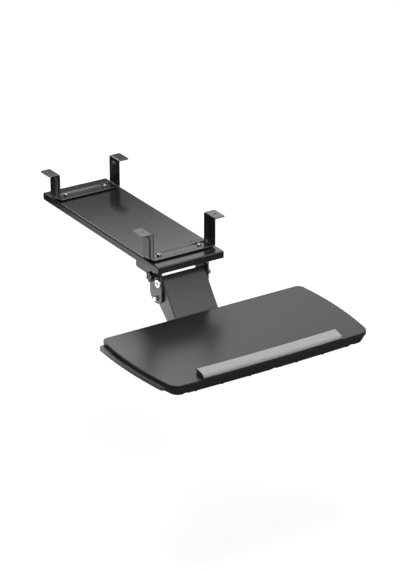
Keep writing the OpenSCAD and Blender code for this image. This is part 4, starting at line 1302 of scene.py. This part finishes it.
    def _swell(self, piece: bpy.types.Object) -> None:
        """Lets the cover swell as cloth, holding its foot, and caps how far a point goes.

        Args:
            piece: the pad.
        """
        scene = bpy.context.scene
        rest = np.array([v.co for v in piece.data.vertices])
        foot = piece.vertex_groups.new(name="foot")
        floor = rest[:, 2].min() + self.foot_held * MM
        foot.add([int(k) for k in np.nonzero(rest[:, 2] < floor)[0]], 1.0, "REPLACE")
        cloth = piece.modifiers.new("cloth", "CLOTH").settings
        cloth.use_pressure = True
        cloth.uniform_pressure_force = self.pressure
        cloth.vertex_group_mass = "foot"
        cloth.tension_stiffness = cloth.compression_stiffness = self.stretch
        cloth.bending_stiffness = self.bending
        cloth.effector_weights.gravity = 0.0
        for frame in range(1, self.frames + 1):
            scene.frame_set(frame)
        graph = bpy.context.evaluated_depsgraph_get()
        moved = np.array([v.co for v in piece.evaluated_get(graph).data.vertices])
        piece.modifiers.clear()
        scene.frame_set(1)
        step = moved - rest
        size = np.linalg.norm(step, axis=1, keepdims=True)
        step *= np.minimum(1.0, self.swell * MM / np.maximum(size, TINY))
        piece.data.vertices.foreach_set("co", (rest + step).astype(np.float32).ravel())
        piece.data.update()
        LOG.info("%s swelled by up to %.2f mm", piece.name, float(np.linalg.norm(step, axis=1).max() / MM))


@dataclass(frozen=True)
class Glow:
    """A soft bright patch of the surround, as gloss sees it."""

    way: tuple[float, float, float]
    width: float
    strength: float


@dataclass(frozen=True)
class Softbox:
    """A rectangular soft lamp: its name, place, the point it faces, width and height, and power in watts."""

    name: str
    at: tuple[float, float, float]
    to: tuple[float, float, float]
    size: tuple[float, float]
    power: float

    def build(self) -> None:
        """Hangs the lamp."""
        data = bpy.data.lights.new(self.name, "AREA")
        data.shape = "RECTANGLE"
        data.size, data.size_y = self.size
        data.energy = self.power
        lamp = linked(self.name, data)
        lamp.location = self.at
        lamp.rotation_euler = (Vector(self.to) - Vector(self.at)).to_track_quat("-Z", "Y").to_euler()


@dataclass
class Studio:
    """Camera, floor, reflecting wall, surround and lamps.

    The span of a change, such as floor_rise or wall_side, says where it starts and ends: along Y on the floor, along
    X or Z on the wall, and along X among the surround's directions.
    """

    camera_at: tuple[float, float, float] = (-2.9005, -4.8597, 2.3174)
    camera_down: float = 24.56
    camera_turn: float = -32.69
    camera_lens: float = 207.91
    camera_sensor: float = 36.0
    camera_end: float = 50.0

    floor_z: float = -0.72
    floor_reach: float = 9.0
    floor_matte: float = 0.3
    floor_lift: float = 0.80
    floor_clear: tuple[float, float] = (1.2, 2.4)
    floor_front: float = 0.36
    floor_mid: float = 3.4
    floor_rise: tuple[float, float] = (0.44, 0.60)
    floor_drop: tuple[float, float] = (0.65, 0.92)
    floor_far: float = 0.38
    floor_fade: tuple[float, float] = (0.95, 1.45)
    floor_back: float = 0.66
    corner_spot: float = 8.0
    corner_at: tuple[float, float] = (-0.22, -0.58)
    corner_edge: tuple[float, float] = (0.06, 0.20)

    wall_x: tuple[float, float] = (-5.0, 7.0)
    wall_y: float = 1.5
    wall_top: float = 5.0
    wall_low: float = 0.04
    wall_levels: tuple[float, float] = (0.14, 1.95)
    wall_side: tuple[float, float] = (0.22, 0.40)
    wall_rise: tuple[float, float] = (0.56, 0.95)
    wall_foot: tuple[float, float] = (0.15, 0.45)
    fill: float = 0.6
    fill_side: tuple[float, float] = (1.15, 1.35)
    fill_fall: tuple[float, float] = (0.60, 1.00)
    shut_side: tuple[float, float] = (1.20, 1.45)
    shut_rise: tuple[float, float] = (1.10, 1.40)
    stripe: float = 4.0
    stripe_slope: float = 1.2
    stripe_from: tuple[float, float] = (-0.25, -0.15)
    stripe_edge: tuple[float, float] = (-0.02, 0.10)
    stripe_over: tuple[float, float] = (0.65, 0.75)
    stripe_top: tuple[float, float] = (1.10, 1.30)
    aside: float = 0.9
    aside_from: tuple[float, float] = (-2.2, -1.6)

    ambient: float = 0.3
    room: float = 0.35
    room_left: float = 0.6
    left_from: tuple[float, float] = (-0.5, -0.15)
    glow: Glow = Glow((0.49, -0.26, 0.83), 0.38, 4.5)
    lamps: tuple[Softbox, ...] = (
        Softbox("top_softbox", (0.0, 0.15, 2.6), (0.0, -0.3, -0.2), (1.8, 2.2), 84.0),
        Softbox("front_softbox", (0.4, -2.6, 1.0), (0.0, -0.4, -0.2), (2.0, 1.4), 34.0),
    )

    def build(self) -> None:
        """Makes the camera, the floor, the wall, the surround and the lamps."""
        self._camera()
        self._floor()
        self._wall()
        self._surround()
        for lamp in self.lamps:
            lamp.build()
        bpy.context.scene.view_settings.view_transform = "Standard"
        LOG.info("studio ready")

    def _camera(self) -> None:
        """Places the camera at the photograph's viewpoint."""
        data = bpy.data.cameras.new("camera")
        data.lens = self.camera_lens
        data.sensor_fit = "HORIZONTAL"
        data.sensor_width = self.camera_sensor
        data.clip_end = self.camera_end
        camera = linked("camera", data)
        camera.location = self.camera_at
        camera.rotation_euler = (math.radians(90.0 - self.camera_down), 0.0, math.radians(self.camera_turn))
        bpy.context.scene.camera = camera

    @staticmethod
    def _panel(name: str, points: Sequence[Sequence[float]]) -> tuple[bpy.types.Object, Nodes]:
        """Makes a flat panel of the studio with an empty material.

        Args:
            name: the panel's name.
            points: its corners in order.

        Returns:
            The panel and its material's nodes.
        """
        data = bpy.data.meshes.new(name)
        data.from_pydata([tuple(p) for p in points], [], [tuple(range(len(points)))])
        panel = linked(name, data)
        material = bpy.data.materials.new(f"{name}_finish")
        material.use_nodes = True
        nodes = Nodes(material.node_tree)
        nodes.tree.nodes.clear()
        data.materials.append(material)
        return panel, nodes

    def _floor(self) -> None:
        """Lays the pale floor: white to the eye with a faint shadow, and graded in gloss."""
        r, z = self.floor_reach, self.floor_z
        _, n = self._panel("floor", [(-r, -r, z), (r, -r, z), (r, r, z), (-r, r, z)])
        path = n.add("ShaderNodeLightPath").outputs
        where = n.place()
        y = n.add("ShaderNodeSeparateXYZ", {0: where}).outputs["Y"]
        pale = n.span(n.measure("LENGTH", where), *self.floor_clear, self.floor_lift, 1.0)
        eye = n.math("MULTIPLY", path["Is Camera Ray"], pale)
        rise = n.span(y, *self.floor_rise, self.floor_front, self.floor_mid)
        drop = n.span(y, *self.floor_drop, 1.0, self.floor_far)
        fade = n.span(y, *self.floor_fade, 1.0, self.floor_back)
        graded = n.math("MULTIPLY", rise, n.math("MULTIPLY", drop, fade))
        spot = n.span(n.measure("DISTANCE", where, (*self.corner_at, z)), *self.corner_edge, self.corner_spot, 0.0)
        gloss = n.math("MULTIPLY", path["Is Glossy Ray"], n.math("ADD", graded, spot))
        matte = n.add("ShaderNodeBsdfDiffuse", {"Color": rgba((self.floor_matte,) * 3)})
        lit = n.add("ShaderNodeEmission", {"Color": rgba(WHITE), "Strength": n.math("ADD", eye, gloss)})
        both = n.add("ShaderNodeAddShader", {0: matte.outputs[0], 1: lit.outputs[0]})
        only = n.add("ShaderNodeMixShader", {0: path["Is Glossy Ray"], 1: both.outputs[0], 2: lit.outputs[0]})
        n.add("ShaderNodeOutputMaterial", {"Surface": only.outputs[0]})

    def _wall(self) -> None:
        """Stands the panel behind the object that only gloss sees.

        It brightens upwards, with a fill at its far right, a dark top right corner, a bright slanted stripe at its
        left and a pale part far aside.
        """
        (west, east), y, low, high = self.wall_x, self.wall_y, self.floor_z, self.wall_top
        wall, n = self._panel("reflecting_wall", [(west, y, low), (east, y, low), (east, y, high), (west, y, high)])
        wall.visible_camera = wall.visible_diffuse = wall.visible_shadow = wall.visible_transmission = False
        place = n.add("ShaderNodeSeparateXYZ", {0: n.place()}).outputs
        x, z = place["X"], place["Z"]
        fill = n.math("MULTIPLY", n.span(x, *self.fill_side), n.span(z, *self.fill_fall, self.fill, 0.0))
        shut = n.math("MULTIPLY", n.span(x, *self.shut_side), n.span(z, *self.shut_rise))
        level = n.math("ADD", n.span(z, *self.wall_rise, *self.wall_levels), fill)
        slant = n.math("SUBTRACT", z, n.math("MULTIPLY", x, self.stripe_slope))
        stripe = n.span(slant, *self.stripe_edge, 0.0, self.stripe)
        for share in (n.span(x, *self.wall_side), n.span(z, *self.wall_foot), n.math("SUBTRACT", 1.0, shut)):
            level = n.math("MULTIPLY", level, share)
        over, under = n.span(z, *self.stripe_over), n.span(z, *self.stripe_top, 1.0, 0.0)
        for share in (n.span(x, *self.stripe_from), over, under):
            stripe = n.math("MULTIPLY", stripe, share)
        for more in (stripe, n.span(x, *self.aside_from, self.aside, 0.0), self.wall_low):
            level = n.math("ADD", level, more)
        lit = n.add("ShaderNodeEmission", {"Color": rgba(WHITE), "Strength": level})
        n.add("ShaderNodeOutputMaterial", {"Surface": lit.outputs[0]})

    def _surround(self) -> None:
        """Makes the surround: white to the eye, dim as light, and in gloss dim with one soft patch overhead."""
        world = bpy.data.worlds.new("surround")
        bpy.context.scene.world = world
        world.use_nodes = True
        n = Nodes(world.node_tree)
        n.tree.nodes.clear()
        path = n.add("ShaderNodeLightPath").outputs
        way = n.add("ShaderNodeTexCoord").outputs["Generated"]
        gap = n.measure("DISTANCE", way, tuple(Vector(self.glow.way).normalized()))
        level = n.math("ADD", n.span(gap, 0.0, self.glow.width, self.glow.strength, 0.0), self.room)
        left = n.span(n.add("ShaderNodeSeparateXYZ", {0: way}).outputs["X"], *self.left_from, self.room_left, 0.0)
        gloss = n.math("MULTIPLY", path["Is Glossy Ray"], n.math("ADD", level, left))
        strength = n.math("ADD", n.math("MULTIPLY", path["Is Diffuse Ray"], self.ambient), gloss)
        strength = n.math("MAXIMUM", strength, path["Is Camera Ray"])
        back = n.add("ShaderNodeBackground", {"Color": rgba(WHITE), "Strength": strength})
        n.add("ShaderNodeOutputWorld", {"Surface": back.outputs[0]})


def dress_frame(nodes: dict[str, bpy.types.Object], materials: dict[Paint, bpy.types.Material]) -> None:
    """Gives every carried-over CAD node its finish.

    Args:
        nodes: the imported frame's nodes.
        materials: the built materials.
    """
    for paint, names in NODE_PAINT.items():
        for name in names:
            data = nodes[name].data
            data.materials.clear()
            data.materials.append(materials[paint])
            LOG.info("dressed %s with %s", name, materials[paint].name)


def main() -> None:
    """Builds the scene in order."""
    logging.basicConfig(level=logging.INFO, format="%(name)s: %(message)s")
    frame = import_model()
    nodes = frame["nodes"]
    Studio().build()
    effects = Effects()
    materials = {paint: paint.value.build(effects) for paint in Paint}
    dress_frame(nodes, materials)

    pad = PalmPad(nodes["palm_rest"].data)
    pad.dress(pad.build(), materials[Paint.CLOTH], materials[Paint.PAD_END])
    for strap in (
        PressedStrap("front_hanger", "front_pressed_hanger", y=-240.5),
        PressedStrap("rear_hanger", "rear_pressed_hanger", y=240.5),
    ):
        strap.dress(strap.build(), materials[Paint.STRAP])
    knob = StarKnob()
    knob.dress(knob.build(), materials[Paint.GLOSS])

    upper = SocketHead(radius=11.5, height=4.3, socket=5.5, depth=3.4, edge=1.1, shank=6.0, chamfer=0.8)
    lower = SocketHead(radius=7.25, height=6.4, socket=2.3, depth=2.0, edge=1.9, shank=4.0, chamfer=0.8)
    for bolt in (
        PivotBolt("upper_pivot_bolt", "upper_socket_bolt", upper),
        PivotBolt("lower_pivot_bolt", "lower_socket_bolt", lower),
    ):
        bolt.dress(bolt.build(), materials[Paint.BRIGHT])

    strap_head = SocketHead(radius=5.5, height=6.0, socket=2.9, depth=2.6, edge=1.6, shank=3.0, chamfer=0.5)
    tray_head = SocketHead(radius=3.75, height=2.4, socket=1.5, depth=1.2, edge=0.9, shank=2.0, chamfer=0.5)
    for screws, paint in (
        (ScrewSet("strap_screws", "strap_socket_screws", "track", True, strap_head, seed=4), Paint.SCREW),
        (ScrewSet("tray_screws", "tray_socket_screws", "tray", False, tray_head, seed=9), Paint.BLACKENED),
    ):
        screws.dress(screws.build(nodes[screws.node].data, materials[paint]))


if __name__ == "__main__":
    main()
